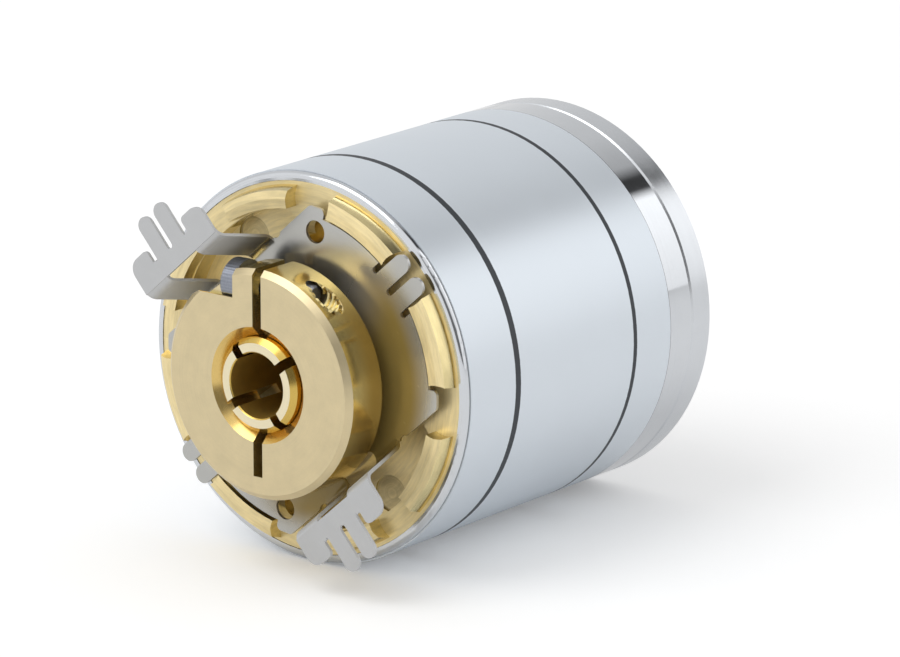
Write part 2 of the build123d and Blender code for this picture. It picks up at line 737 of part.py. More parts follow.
def bearing_balls(y_front):
    """The balls of one bearing, evenly spread."""
    y = y_front + BEARING_WIDTH / 2
    balls = []
    for index in range(BALL_COUNT):
        x, z = polar(ball_circle_r, index * 360 / BALL_COUNT)
        balls.append(Pos(x, y, z) * Sphere(ball_r))
    return balls


def bearing_cage(y_front):
    """Ring with a round pocket for each ball."""
    y = y_front + BEARING_WIDTH / 2
    pocket_r = ball_r + CAGE_POCKET_GAP
    half_width = pocket_r + CAGE_RAIL
    cage = ring(
        ball_circle_r - CAGE_WALL / 2, ball_circle_r + CAGE_WALL / 2, y - half_width, y + half_width
    )
    pocket = rod_x(pocket_r, ball_circle_r - CAGE_WALL, ball_circle_r + CAGE_WALL, y, 0)
    for index in range(BALL_COUNT):
        cage -= clocked(pocket, index * 360 / BALL_COUNT)
    return cage


def inner_spacer():
    """Tube between the inner rings."""
    return ring(
        shaft_seat_r, shaft_seat_r + SPACER_WALL, front_bearing_y + BEARING_WIDTH, rear_bearing_y
    )


def preload_washer():
    """Spring washer that loads the rear bearing."""
    return ring(shaft_seat_r, inner_race_r, bearings_rear, disc_hub_front)


def disc_hub():
    """Hub with a pilot that centres the code disc."""
    pilot_r = shaft_seat_r + DISC_PILOT_WALL
    hub_outer_r = shaft_seat_r + HUB_FLANGE_WALL
    hub_neck_r = inner_race_r
    return turned(
        [
            (shaft_seat_r, disc_hub_front),
            (hub_neck_r, disc_hub_front),
            (hub_neck_r, hub_rear + FIT_GAP),
            (hub_outer_r, hub_rear + HUB_FLANGE_START),
            (hub_outer_r, disc_front),
            (pilot_r, disc_front),
            (pilot_r, disc_rear - PILOT_LIP),
            (shaft_seat_r, disc_rear - PILOT_LIP),
        ]
    )


def code_disc():
    """Glass disc that carries the line pattern."""
    bore_r = shaft_seat_r + DISC_PILOT_WALL + FIT_GAP
    return ring(bore_r, disc_r, disc_front, disc_rear)


def disc_washer():
    """Washer that clamps the disc to its hub."""
    return ring(shaft_seat_r, shaft_seat_r + DISC_WASHER_WALL, disc_rear, disc_washer_rear)


def shaft_retaining_ring():
    """Open spring ring in the shaft's groove."""
    inner_r = shaft_seat_r - RETAINER_GROOVE
    outer_r = inner_r + RETAINER_WALL
    full = Circle(outer_r) - Circle(inner_r)
    x, y = polar(2 * outer_r, RETAINER_GAP_ANGLE / 2)
    gap = make_face(Polyline((0, 0), (x, y), (x, -y), close=True))
    return slab(full - gap, disc_washer_rear, retainer_rear)


def pillar_places():
    """The x and z of each board pillar."""
    step = 360 / PILLAR_COUNT
    return [polar(pillar_circle_r, PILLAR_ANGLE + index * step) for index in range(PILLAR_COUNT)]


def led_holder():
    """Moulded block on the flange that carries the light source over the hub."""
    holder_rear = disc_front - HOLDER_DISC_GAP
    lead_y = led_front() - LEAD_STUB
    post = Pos(0, optics_r) * RectangleRounded(HOLDER_WIDTH, holder_depth, HOLDER_ROUNDING)
    foot = Pos(0, optics_r) * RectangleRounded(FOOT_WIDTH, holder_depth, HOLDER_ROUNDING)
    body = slab(post, flange_rear, holder_rear)
    body += slab(foot, flange_rear, flange_rear + FOOT_THICKNESS)
    body -= rod_y(
        LED_DIAMETER / 2 + FIT_GAP, lead_y - LEAD_DIAMETER, holder_rear + OVERRUN, 0, optics_r
    )
    channel = Pos(0, optics_r + holder_depth / 2) * Rectangle(LED_DIAMETER, holder_depth)
    body -= slab(channel, lead_y - LEAD_DIAMETER, lead_y + LEAD_DIAMETER)
    for x in (-FOOT_SCREW_SPACING / 2, FOOT_SCREW_SPACING / 2):
        body -= rod_y(
            FOOT_SCREW_DIAMETER / 2 + FIT_GAP, flange_rear, flange_rear + FOOT_THICKNESS, x, optics_r
        )
    return body


def led_front():
    """Station of the light source's flat end."""
    return disc_front - LED_DISC_GAP - LED_DIAMETER / 2 - LED_BODY_LENGTH


def led():
    """Light source with a domed lens towards the disc."""
    dome_y = led_front() + LED_BODY_LENGTH
    body = rod_y(LED_DIAMETER / 2, led_front(), dome_y, 0, optics_r)
    return body + Pos(0, dome_y, optics_r) * Sphere(LED_DIAMETER / 2)


def led_leads():
    """Two wires from the light source, round the disc's edge, into the sensor board."""
    leads = []
    lead_y = led_front() - LEAD_STUB
    for x in (-LEAD_SPACING / 2, LEAD_SPACING / 2):
        path = FilletPolyline(
            (x, led_front(), optics_r),
            (x, lead_y, optics_r),
            (x, lead_y, lead_r),
            (x, sensor_board_rear + PIN_STUB, lead_r),
            radius=LEAD_BEND,
        )
        section = Plane(origin=path @ 0, z_dir=path % 0) * Circle(LEAD_DIAMETER / 2)
        leads.append(sweep(section, path=path))
    return leads


def led_holder_screws():
    """Two small screws that fasten the holder's foot."""
    screws = []
    head_front = flange_rear + FOOT_THICKNESS
    for x in (-FOOT_SCREW_SPACING / 2, FOOT_SCREW_SPACING / 2):
        head = rod_y(
            FOOT_SCREW_HEAD / 2, head_front, head_front + FOOT_SCREW_HEAD_HEIGHT, x, optics_r
        )
        shank = rod_y(
            FOOT_SCREW_DIAMETER / 2, flange_rear - FOOT_SCREW_LENGTH, head_front, x, optics_r
        )
        screws.append(head + shank)
    return screws


def reticle():
    """Glass mask in front of the detector."""
    sketch = Pos(0, optics_r) * Rectangle(MASK_SIZE, MASK_SIZE)
    return slab(sketch, mask_front, detector_front)


def sensor_chip():
    """Detector chip on the sensor board."""
    sketch = Pos(0, optics_r) * Rectangle(DETECTOR_WIDTH, DETECTOR_DEPTH)
    return slab(sketch, detector_front, sensor_board_front)


def board_pillars():
    """Three pillars on the flange, tapped for the board screws."""
    pillars = []
    for x, z in pillar_places():
        pillar = rod_y(PILLAR_DIAMETER / 2, flange_rear, sensor_board_front, x, z)
        tapped_front = sensor_board_front - BOARD_SCREW_BITE - BOARD_SCREW_GAP
        hole = rod_y(
            BOARD_SCREW_DIAMETER / 2 + FIT_GAP, tapped_front, sensor_board_front + OVERRUN, x, z
        )
        stud = rod_y(
            BOARD_SCREW_DIAMETER / 2 - FIT_GAP, flange_rear - PILLAR_STUD, flange_rear, x, z
        )
        pillars.append(pillar - hole + stud)
    return pillars


def header_z():
    """Height of the pin header's row of pins."""
    return HEADER_INSET - board_r


def header_xs():
    """The x of each pin of the header."""
    middle = (HEADER_PINS - 1) / 2
    return [(index - middle) * HEADER_PIN_SPACING for index in range(HEADER_PINS)]


def bare_board(y_front, centre_hole):
    """A round board with holes for its screws and for the header's pins."""
    sketch = Circle(board_r)
    if centre_hole > 0:
        sketch -= Circle(centre_hole / 2)
    for x, z in pillar_places():
        sketch -= Pos(x, z) * Circle(BOARD_SCREW_DIAMETER / 2 + BOARD_HOLE_GAP)
    for x in header_xs():
        sketch -= Pos(x, header_z()) * Circle(PIN_DIAMETER / 2 + FIT_GAP)
    return slab(sketch, y_front, y_front + BOARD_THICKNESS)


def sensor_board():
    """Board that carries the detector, with holes for the light source's leads."""
    board = bare_board(sensor_board_front, BOARD_CENTRE_HOLE)
    for x in (-LEAD_SPACING / 2, LEAD_SPACING / 2):
        board -= rod_y(
            LEAD_DIAMETER / 2 + FIT_GAP, sensor_board_front, sensor_board_rear, x, lead_r
        )
    return board


def driver_board():
    """Board that carries the output drivers."""
    return bare_board(driver_board_front, 0)


def board_spacers():
    """Three spacers between the boards."""
    spacers = []
    for x, z in pillar_places():
        sketch = Pos(x, z) * (
            Circle(PILLAR_DIAMETER / 2) - Circle(BOARD_SCREW_DIAMETER / 2 + BOARD_HOLE_GAP)
        )
        spacers.append(slab(sketch, sensor_board_rear, driver_board_front))
    return spacers


def board_screws():
    """Three screws that hold both boards on the pillars."""
    screws = []
    for x, z in pillar_places():
        head = rod_y(BOARD_SCREW_HEAD / 2, driver_board_rear, board_screws_rear, x, z)
        shank = rod_y(
            BOARD_SCREW_DIAMETER / 2, sensor_board_front - BOARD_SCREW_BITE, driver_board_rear, x, z
        )
        screws.append(head + shank)
    return screws


def pin_header():
    """Header block between the boards with its row of pins."""
    length = HEADER_PINS * HEADER_PIN_SPACING
    block = Pos(0, header_z()) * Rectangle(length, HEADER_DEPTH)
    header = slab(block, sensor_board_rear, driver_board_front)
    for x in header_xs():
        header += rod_y(
            PIN_DIAMETER / 2, sensor_board_front - PIN_STUB, driver_board_rear + PIN_STUB, x, header_z()
        )
    return header


def driver_components():
    """Two chips and a row of capacitors on the driver board."""
    parts = []
    for x in (-CHIP_OFFSET, CHIP_OFFSET):
        sketch = Pos(x, CHIP_RISE) * Rectangle(CHIP_SIZE, CHIP_SIZE)
        parts.append(slab(sketch, driver_board_rear, driver_board_rear + CHIP_HEIGHT))
    middle = (CAPACITOR_COUNT - 1) / 2
    for index in range(CAPACITOR_COUNT):
        x = (index - middle) * CAPACITOR_SPACING
        sketch = Pos(x, -CAPACITOR_DROP / 2) * Rectangle(CAPACITOR_WIDTH, CAPACITOR_LENGTH)
        parts.append(slab(sketch, driver_board_rear, driver_board_rear + CAPACITOR_WIDTH))
    return parts


def build_nodes():
    """Every separate piece by its node's name."""
    return {
        "flange_body": flange_body(),
        "stator_spring": stator_spring(),
        "housing_sleeve": housing_sleeve(),
        "sleeve_wrap": sleeve_wrap(),
        "rear_cap": rear_cap(),
        "front_seal_ring": seal_ring(flange_seal_y),
        "rear_seal_ring": seal_ring(cap_seal_y),
        "cable_grommet": cable_grommet(),
        "front_bearing_outer_ring": bearing_outer_ring(front_bearing_y),
        "rear_bearing_outer_ring": bearing_outer_ring(rear_bearing_y),
        "front_bearing_shields": bearing_shields(front_bearing_y),
        "rear_bearing_shields": bearing_shields(rear_bearing_y),
        "led_holder": led_holder(),
        "led": led(),
        "led_leads": led_leads(),
        "led_holder_screws": led_holder_screws(),
        "reticle": reticle(),
        "sensor_chip": sensor_chip(),
        "board_pillars": board_pillars(),
        "sensor_board": sensor_board(),
        "board_spacers": board_spacers(),
        "driver_board": driver_board(),
        "driver_components": driver_components(),
        "pin_header": pin_header(),
        "board_screws": board_screws(),
        "hollow_shaft": hollow_shaft(),
        "clamp_ring": clamp_ring(),
        "front_bearing_inner_ring": bearing_inner_ring(front_bearing_y),
        "rear_bearing_inner_ring": bearing_inner_ring(rear_bearing_y),
        "inner_spacer": inner_spacer(),
        "preload_washer": preload_washer(),
        "disc_hub": disc_hub(),
        "code_disc": code_disc(),
        "disc_washer": disc_washer(),
        "shaft_retaining_ring": shaft_retaining_ring(),
        "front_bearing_balls": bearing_balls(front_bearing_y),
        "front_bearing_cage": bearing_cage(front_bearing_y),
        "rear_bearing_balls": bearing_balls(rear_bearing_y),
        "rear_bearing_cage": bearing_cage(rear_bearing_y),
        "clamp_screw": clamp_screw(),
    }


def main():
    """Write one STEP file for each node."""
    os.makedirs("parts", exist_ok=True)
    for name, shape in build_nodes().items():
        if isinstance(shape, list):
            shape = Compound(children=shape)
        export_step(shape, f"parts/{name}.step")


main()
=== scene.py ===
"""Looks of a miniature rotary encoder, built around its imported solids.

Sizes of finishes and sub-assemblies are in millimetres. Meshes are in metres, in the
frame of the solids: the shaft turns about Y, the front faces -Y and Z is up.
"""

import logging
import math
from dataclasses import dataclass
from enum import Enum
from typing import Sequence, Union

import bpy
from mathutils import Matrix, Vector


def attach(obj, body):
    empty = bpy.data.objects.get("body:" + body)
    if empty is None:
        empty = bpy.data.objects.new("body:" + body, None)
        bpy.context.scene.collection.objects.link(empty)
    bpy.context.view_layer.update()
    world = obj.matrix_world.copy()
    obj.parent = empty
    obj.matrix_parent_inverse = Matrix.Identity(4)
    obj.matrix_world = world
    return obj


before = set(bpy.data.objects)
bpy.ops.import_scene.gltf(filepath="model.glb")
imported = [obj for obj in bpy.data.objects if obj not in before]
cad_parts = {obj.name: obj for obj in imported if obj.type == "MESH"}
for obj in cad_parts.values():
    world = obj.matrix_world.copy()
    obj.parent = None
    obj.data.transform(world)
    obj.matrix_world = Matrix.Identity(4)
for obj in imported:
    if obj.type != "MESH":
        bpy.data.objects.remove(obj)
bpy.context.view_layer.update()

LOG = logging.getLogger("encoder")
MM = 0.001
PRINT_EDGE = 0.02
Colour = tuple[float, float, float]
Point = tuple[float, float, float]
Mesh = tuple[list[tuple[float, ...]], list[tuple[int, ...]]]


class Wear(Enum):
    """How a metal surface was left by its last tool."""

    TURNED = "turned"
    MILLED = "milled"


def tone(red: int, green: int, blue: int) -> Colour:
    """Turn a colour as a screen shows it into the linear values of a shader.

    Args:
        red: Red from 0 to 255.
        green: Green from 0 to 255.
        blue: Blue from 0 to 255.

    Returns:
        The linear red, green and blue.
    """
    channels = []
    for level in (red, green, blue):
        share = level / 255
        channels.append(share / 12.92 if share <= 0.04045 else ((share + 0.055) / 1.055) ** 2.4)
    return (channels[0], channels[1], channels[2])


class Shade:
    """One output of a shader node, with operators that add Math nodes."""

    def __init__(self, tree: "ShadeTree", socket: bpy.types.NodeSocket) -> None:
        """Keep the tree and the socket."""
        self.tree = tree
        self.socket = socket

    def _math(self, operation: str, *operands: "Operand") -> "Shade":
        """Add one Math node.

        Args:
            operation: The node's operation.
            operands: Its inputs in order.

        Returns:
            The node's value.
        """
        return self.tree.add("ShaderNodeMath", {"operation": operation}, dict(enumerate(operands)))

    def __add__(self, other: "Operand") -> "Shade":
        """Return self + other."""
        return self._math("ADD", self, other)

    def __radd__(self, other: "Operand") -> "Shade":
        """Return other + self."""
        return self._math("ADD", other, self)

    def __sub__(self, other: "Operand") -> "Shade":
        """Return self - other."""
        return self._math("SUBTRACT", self, other)

    def __rsub__(self, other: "Operand") -> "Shade":
        """Return other - self."""
        return self._math("SUBTRACT", other, self)

    def __mul__(self, other: "Operand") -> "Shade":
        """Return self * other."""
        return self._math("MULTIPLY", self, other)

    def __rmul__(self, other: "Operand") -> "Shade":
        """Return other * self."""
        return self._math("MULTIPLY", other, self)

    def __truediv__(self, other: "Operand") -> "Shade":
        """Return self / other."""
        return self._math("DIVIDE", self, other)

    def __abs__(self) -> "Shade":
        """Return the absolute value."""
        return self._math("ABSOLUTE", self)

    def root(self) -> "Shade":
        """Return the square root."""
        return self._math("SQRT", self)

    def sine(self) -> "Shade":
        """Return the sine of an angle in radians."""
        return self._math("SINE", self)

    def turn_from(self, other: "Shade") -> "Shade":
        """Return the angle whose tangent is self over other."""
        return self._math("ARCTAN2", self, other)

    def larger(self, other: "Operand") -> "Shade":
        """Return the larger of the two values."""
        return self._math("MAXIMUM", self, other)

    def ease(self, low: float, high: float) -> "Shade":
        """Fade from 0 at low to 1 at high.

        Args:
            low: The value that gives 0.
            high: The value that gives 1.

        Returns:
            A smooth step between the two.
        """
        settings = {"interpolation_type": "SMOOTHSTEP"}
        inputs = {"Value": self, "From Min": low, "From Max": high}
        return self.tree.add("ShaderNodeMapRange", settings, inputs)


Operand = Union[Shade, float, int]


class ShadeTree:
    """A node tree with one method that adds nodes."""

    def __init__(self, tree: bpy.types.NodeTree) -> None:
        """Clear the tree and keep it."""
        self.tree = tree
        self.tree.nodes.clear()

    def add(
        self, kind: str, settings: dict, inputs: dict, output: Union[str, int] = 0
    ) -> Shade:
        """Add a node, set it up and feed its sockets.

        Args:
            kind: The node's type.
            settings: Its properties, set first. Stops set the stops of a ramp.
            inputs: Values or links by the name or number of the socket.
            output: The output to hand back.

        Returns:
            The chosen output.
        """
        node = self.tree.nodes.new(kind)
        for name, value in settings.items():
            if name == "stops":
                self._set_stops(node.color_ramp, value)
            else:
                setattr(node, name, value)
        for key, value in inputs.items():
            if isinstance(value, Shade):
                self.tree.links.new(value.socket, node.inputs[key])
            else:
                node.inputs[key].default_value = value
        return Shade(self, node.outputs[output] if len(node.outputs) else None)

    @staticmethod
    def _set_stops(ramp: bpy.types.ColorRamp, stops: Sequence[tuple[float, Colour]]) -> None:
        """Give a ramp its stops.

        Args:
            ramp: The ramp to set.
            stops: Position and colour of each stop, in order.
        """
        while len(ramp.elements) < len(stops):
            ramp.elements.new(0.5)
        for element, (position, colour) in zip(ramp.elements, stops):
            element.position = position
            element.color = (*colour, 1.0)

    def blend(self, share: Operand, low: "Tint", high: "Tint", how: str = "MIX") -> Shade:
        """Mix two colours.

        Args:
            share: 0 gives low and 1 gives high.
            low: The first colour.
            high: The second colour.
            how: The blend mode.

        Returns:
            The mixed colour.
        """
        settings = {"data_type": "RGBA", "blend_type": how}
        colours = [c if isinstance(c, Shade) else (*c, 1.0) for c in (low, high)]
        return self.add("ShaderNodeMix", settings, {0: share, 6: colours[0], 7: colours[1]}, 2)

    def scaled(self, colour: "Tint", level: Shade) -> Shade:
        """Multiply a colour by a brightness."""
        return self.blend(1.0, colour, self.vector(level, level, level), "MULTIPLY")

    def vector(self, x: Operand, y: Operand, z: Operand) -> Shade:
        """Join three values into a vector."""
        return self.add("ShaderNodeCombineXYZ", {}, {0: x, 1: y, 2: z})

    def axes(self, vector: Shade) -> list[Shade]:
        """Take a vector apart into x, y and z."""
        return [self.add("ShaderNodeSeparateXYZ", {}, {0: vector}, axis) for axis in range(3)]

    def noise(self, where: Shade, scale: float, detail: float = 2.0) -> Shade:
        """Cloudy noise around 0.5.

        Args:
            where: The point to look it up at.
            scale: Clouds per unit.
            detail: How many finer layers are added.

        Returns:
            The noise value.
        """
        inputs = {"Vector": where, "Scale": scale, "Detail": detail, "Roughness": 0.55}
        return self.add("ShaderNodeTexNoise", {}, inputs)

    def finish_with(self, shader: Shade, output: str = "ShaderNodeOutputMaterial") -> None:
        """Send a shader to the tree's output."""
        self.add(output, {}, {"Surface": shader})


Tint = Union[Shade, Colour]


class Spot:
    """Where a shaded point lies on the encoder, in millimetres, and which way it faces."""

    def __init__(self, tree: ShadeTree) -> None:
        """Read the point and its direction from the object's own coordinates.

        Args:
            tree: The tree that gets the nodes.
        """
        metres = tree.add("ShaderNodeTexCoord", {}, {}, "Object")
        scaling = {"operation": "SCALE"}
        self.point = tree.add("ShaderNodeVectorMath", scaling, {0: metres, "Scale": 1 / MM})
        self.x, self.y, self.z = tree.axes(self.point)
        self.radius = (self.x * self.x + self.z * self.z).root()
        self.turn = self.z.turn_from(self.x)
        facing = tree.add("ShaderNodeTexCoord", {}, {}, "Normal")
        self.endwise = abs(tree.add("ShaderNodeSeparateXYZ", {}, {0: facing}, 1))


@dataclass(frozen=True)
class Finish:
    """What every finish shares: its name and how its shader is joined up."""

    name: str

    def material(self) -> bpy.types.Material:
        """Make the material.

        Returns:
            A new material with the finish's nodes.
        """
        made = bpy.data.materials.new(self.name)
        made.use_nodes = True
        tree = ShadeTree(made.node_tree)
        tree.finish_with(self.shader(tree, Spot(tree)))
        return made

    def shader(self, tree: ShadeTree, spot: Spot) -> Shade:
        """Build the finish's shader."""
        raise NotImplementedError

    @staticmethod
    def skin(
        tree: ShadeTree, inputs: dict, height: Union[Shade, None] = None, depth: float = 0.002
    ) -> Shade:
        """Add the surface shader, with a bump where a height is given.

        Args:
            tree: The tree that gets the nodes.
            inputs: Sockets of the surface shader.
            height: Relief, in shares of the depth.
            depth: Depth of the relief in millimetres.

        Returns:
            The shader.
        """
        if height is not None:
            bump = {"Strength": 1.0, "Distance": depth * MM, "Height": height}
            inputs = {**inputs, "Normal": tree.add("ShaderNodeBump", {}, bump)}
        return tree.add("ShaderNodeBsdfPrincipled", {}, inputs)


@dataclass(frozen=True)
class CutMetal(Finish):
    """Turned or milled metal with satin end faces and brighter walls.

    Attributes:
        wall: Colour of surfaces that run along the axis.
        face: Colour of surfaces that face along the axis.
        wall_roughness: Roughness of the walls.
        face_roughness: Roughness of the faces.
        wear: What the last tool left.
        line_pitch: Distance between turned lines.
        blotch: Strength of the cloudy stain.
        depth: Depth of the tool lines.
        streak: How much the tool lines change the colour.
        end_from: How squarely a face has to look along the axis.
        marks: Middle x and z and radius of round tool marks on the pocket floors.
        pocket_y: Where the marks are full.
        wall_matt: Share of dull colour on the walls.
        face_matt: Share of dull colour on the faces.
        bore_radius: Surfaces nearer to the axis get the bore's finish.
        bore_colour: Colour of the bore.
        bore_roughness: Roughness of the bore.
        bore_relief: How much deeper the tool lines are in the bore.
        joint_shade: Middle y and width of lines of painted shade in the joints.
        end_fade: How soft the change from wall to face is.
        cloud_scale: Stains per millimetre.
        grain_scale: Grains per millimetre.
    """

    wall: Colour
    face: Colour
    wall_roughness: float
    face_roughness: float
    wear: Wear = Wear.TURNED
    line_pitch: float = 0.07
    blotch: float = 0.12
    depth: float = 0.0012
    streak: float = 0.10
    end_from: float = 0.75
    marks: tuple[tuple[float, float, float], ...] = ()
    pocket_y: float = 6.1
    wall_matt: float = 0.0
    face_matt: float = 0.0
    bore_radius: float = 0.0
    bore_colour: Colour = (0.0, 0.0, 0.0)
    bore_roughness: float = 0.5
    bore_relief: float = 3.0
    joint_shade: tuple[tuple[float, float], ...] = ()
    end_fade: float = 0.17
    cloud_scale: float = 0.9
    grain_scale: float = 9.0

    def shader(self, tree: ShadeTree, spot: Spot) -> Shade:
        """Build the cut surface.

        Args:
            tree: The tree that gets the nodes.
            spot: The shaded point.

        Returns:
            The shader.
        """
        bore = spot.radius.ease(self.bore_radius + 0.05, self.bore_radius + 0.02)
        bore = bore * (1 - spot.endwise.ease(0.85, 0.95))
        end = spot.endwise.ease(self.end_from, self.end_from + self.end_fade) * (1 - bore)
        cloud = tree.noise(spot.point, self.cloud_scale, 3.0) - 0.5
        grain = tree.noise(spot.point, self.grain_scale, 2.0)
        if self.wear is Wear.MILLED:
            lines = self._milled_lines(tree, spot)
        else:
            lines = self._turned_lines(tree, spot, end)
        colour = tree.blend(bore, tree.blend(end, self.wall, self.face), self.bore_colour)
        shade = 1.0 + self.blotch * cloud + self.streak * (lines - 0.5) + 0.06 * (grain - 0.5)
        shade = self._with_joint_shade(spot, self._with_marks(tree, spot, shade))
        colour = tree.scaled(colour, shade)
        end_rise = self.face_roughness - self.wall_roughness
        bore_rise = self.bore_roughness - self.wall_roughness
        rough = self.wall_roughness + end_rise * end + 0.10 * cloud + 0.08 * (lines - 0.5)
        inputs = {
            "Base Color": colour,
            "Metallic": 1 - self.wall_matt - (self.face_matt - self.wall_matt) * end,
            "Roughness": rough + bore_rise * bore,
        }
        height = lines * 0.6 + grain * 0.6 + self.bore_relief * bore * lines
        return self.skin(tree, inputs, height, self.depth)

    def _with_marks(self, tree: ShadeTree, spot: Spot, shade: Shade) -> Shade:
        """Darken the round tool marks on the pocket floors.

        Args:
            tree: The tree that gets the nodes.
            spot: The shaded point.
            shade: The brightness without them.

        Returns:
            The brightness with them.
        """
        deep = spot.y.ease(self.pocket_y - 0.1, self.pocket_y)
        for x, z, radius in self.marks:
            across, up = spot.x - x, spot.z - z
            reach = (across * across + up * up).root()
            inside = reach.ease(radius + 0.04, radius - 0.04) * deep
            rings = tree.noise(tree.vector(reach * 6.0, 0.0, 0.0), 1.0, 2.0)
            shade = shade * (1 - inside * (0.55 - 0.5 * rings))
        return shade

    def _with_joint_shade(self, spot: Spot, shade: Shade) -> Shade:
        """Paint shade into the joint lines round the axis."""
        for middle, width in self.joint_shade:
            shade = shade * (1 - 0.6 * abs(spot.y - middle).ease(width, width / 2))
        return shade

    def _turned_lines(self, tree: ShadeTree, spot: Spot, end: Shade) -> Shade:
        """Fine rings left by a lathe.

        Args:
            tree: The tree that gets the nodes.
            spot: The shaded point.
            end: 1 on end faces and 0 on walls.

        Returns:
            The ring pattern from 0 to 1.
        """
        across = spot.radius * end + spot.y * (1 - end)
        track = tree.vector(across / self.line_pitch, spot.turn * 0.8, 0.0)
        return tree.noise(track, 1.0, 1.5)

    def _milled_lines(self, tree: ShadeTree, spot: Spot) -> Shade:
        """Curved streaks left by an end mill.

        Args:
            tree: The tree that gets the nodes.
            spot: The shaded point.

        Returns:
            The streak pattern from 0 to 1.
        """
        drift = tree.noise(spot.point, 0.5, 1.0)
        track = tree.vector(spot.radius * 5.0 + drift * 1.5, spot.turn * 5.0, spot.y * 1.5)
        return tree.noise(track, 1.0, 2.5)


@dataclass(frozen=True)
class SpringSheet(Finish):
    """Thin rolled steel: bright where it lies flat, satin on the raised tabs.

    Attributes:
        colour: Colour of the flat plate.
        tab_colour: Colour of legs and tabs.
        ring_reflection: Colour of the painted reflection of the brass clamp ring on the plate.
        flat_roughness: Roughness of the plate.
        tab_roughness: Roughness of the tabs.
        plate_y: Where the plate ends and the legs start.
        leg_rise: How far forward of the plate the tabs' finish is reached.
        reflection_radius: Middle of the painted reflection's soft outer edge.
        reflection_side: Share of x and of z in the direction where the painted reflection is
            strongest.
        reflection_ramp: Where along it the painted reflection starts and where it is full.
        far_reflection: Share of the painted reflection on the far side.
    """

    colour: Colour
    tab_colour: Colour
    ring_reflection: Colour
    flat_roughness: float = 0.24
    tab_roughness: float = 0.46
    plate_y: float = 4.0
    leg_rise: float = 2.5
    reflection_radius: float = 9.3
    reflection_side: tuple[float, float] = (0.9, -0.45)
    reflection_ramp: tuple[float, float] = (-1.0, 4.5)
    far_reflection: float = 0.08

    def shader(self, tree: ShadeTree, spot: Spot) -> Shade:
        """Build the sheet's surface.

        Args:
            tree: The tree that gets the nodes.
            spot: The shaded point.

        Returns:
            The shader.
        """
        forward = spot.y.ease(self.plate_y, self.plate_y - self.leg_rise)
        cloud = tree.noise(spot.point, 0.7, 2.0) - 0.5
        grain = tree.noise(spot.point, 14.0, 2.0)
        rolled = tree.vector((spot.x + spot.z) * 9.0, spot.y * 9.0, (spot.x - spot.z) * 0.7)
        streak = tree.noise(rolled, 1.0, 2.0)
        edge = spot.endwise.ease(0.75, 0.3)
        # Painted reflection of the brass clamp ring: near the ring the plate takes on its colour
        # and is less metallic, most on one side.
        side = spot.x * self.reflection_side[0] + spot.z * self.reflection_side[1]
        reflected = self.far_reflection + (1 - self.far_reflection) * side.ease(*self.reflection_ramp)
        near = spot.radius.ease(self.reflection_radius + 1.0, self.reflection_radius - 1.0) * reflected
        flat = tree.blend(near, self.colour, self.ring_reflection)
        colour = tree.blend(forward, flat, self.tab_colour)
        # The 0.04 * edge term is a painted highlight that lightens the sheet's edges and sloped
        # legs.
        shade = 1.0 + 0.10 * cloud + 0.07 * (streak - 0.5) + 0.04 * edge
        colour = tree.scaled(colour, shade)
        rise = self.tab_roughness - self.flat_roughness
        rough = self.flat_roughness + rise * forward + 0.12 * cloud + 0.06 * (streak - 0.5)
        inputs = {
            "Base Color": colour,
            "Metallic": 1 - 0.8 * near * (1 - forward) - 0.45 * edge * forward,
            "Roughness": rough + 0.16 * edge,
        }
        return self.skin(tree, inputs, grain * 0.7 + streak * 0.3, 0.0009)


@dataclass(frozen=True)
class SatinFoil(Finish):
    """Satin silver foil with printed lines round it.

    Attributes:
        colour: Colour of the foil.
        ink: Colour of the lines.
        lines: Middle y and width of each line.
        roughness: Roughness of the foil.
        metal: How metallic the foil is.
        waver: How far a line's edge strays from straight.
    """

    colour: Colour
    ink: Colour
    lines: tuple[tuple[float, float], ...]
    roughness: float = 0.38
    metal: float = 0.6
    waver: float = 0.03

    def shader(self, tree: ShadeTree, spot: Spot) -> Shade:
        """Build the foil with its lines.

        Args:
            tree: The tree that gets the nodes.
            spot: The shaded point.

        Returns:
            The shader.
        """
        along = spot.y + (tree.noise(spot.point, 3.0, 1.0) - 0.5) * self.waver
        printed = [
            abs(along - middle).ease(width / 2 + PRINT_EDGE, width / 2 - PRINT_EDGE)
            for middle, width in self.lines
        ]
        ink = printed[0]
        for line in printed[1:]:
            ink = ink.larger(line)
        cloud = tree.noise(spot.point, 0.25, 2.0) - 0.5
        grain = tree.noise(spot.point, 16.0, 2.0)
        shade = 1.0 + 0.03 * cloud + 0.02 * (grain - 0.5)
        colour = tree.scaled(self.colour, shade)
        colour = tree.blend(ink, colour, self.ink)
        inputs = {
            "Base Color": colour,
            "Metallic": self.metal - self.metal * ink,
            "Roughness": self.roughness + 0.04 * cloud + 0.15 * ink,
        }
        return self.skin(tree, inputs, grain, 0.0006)


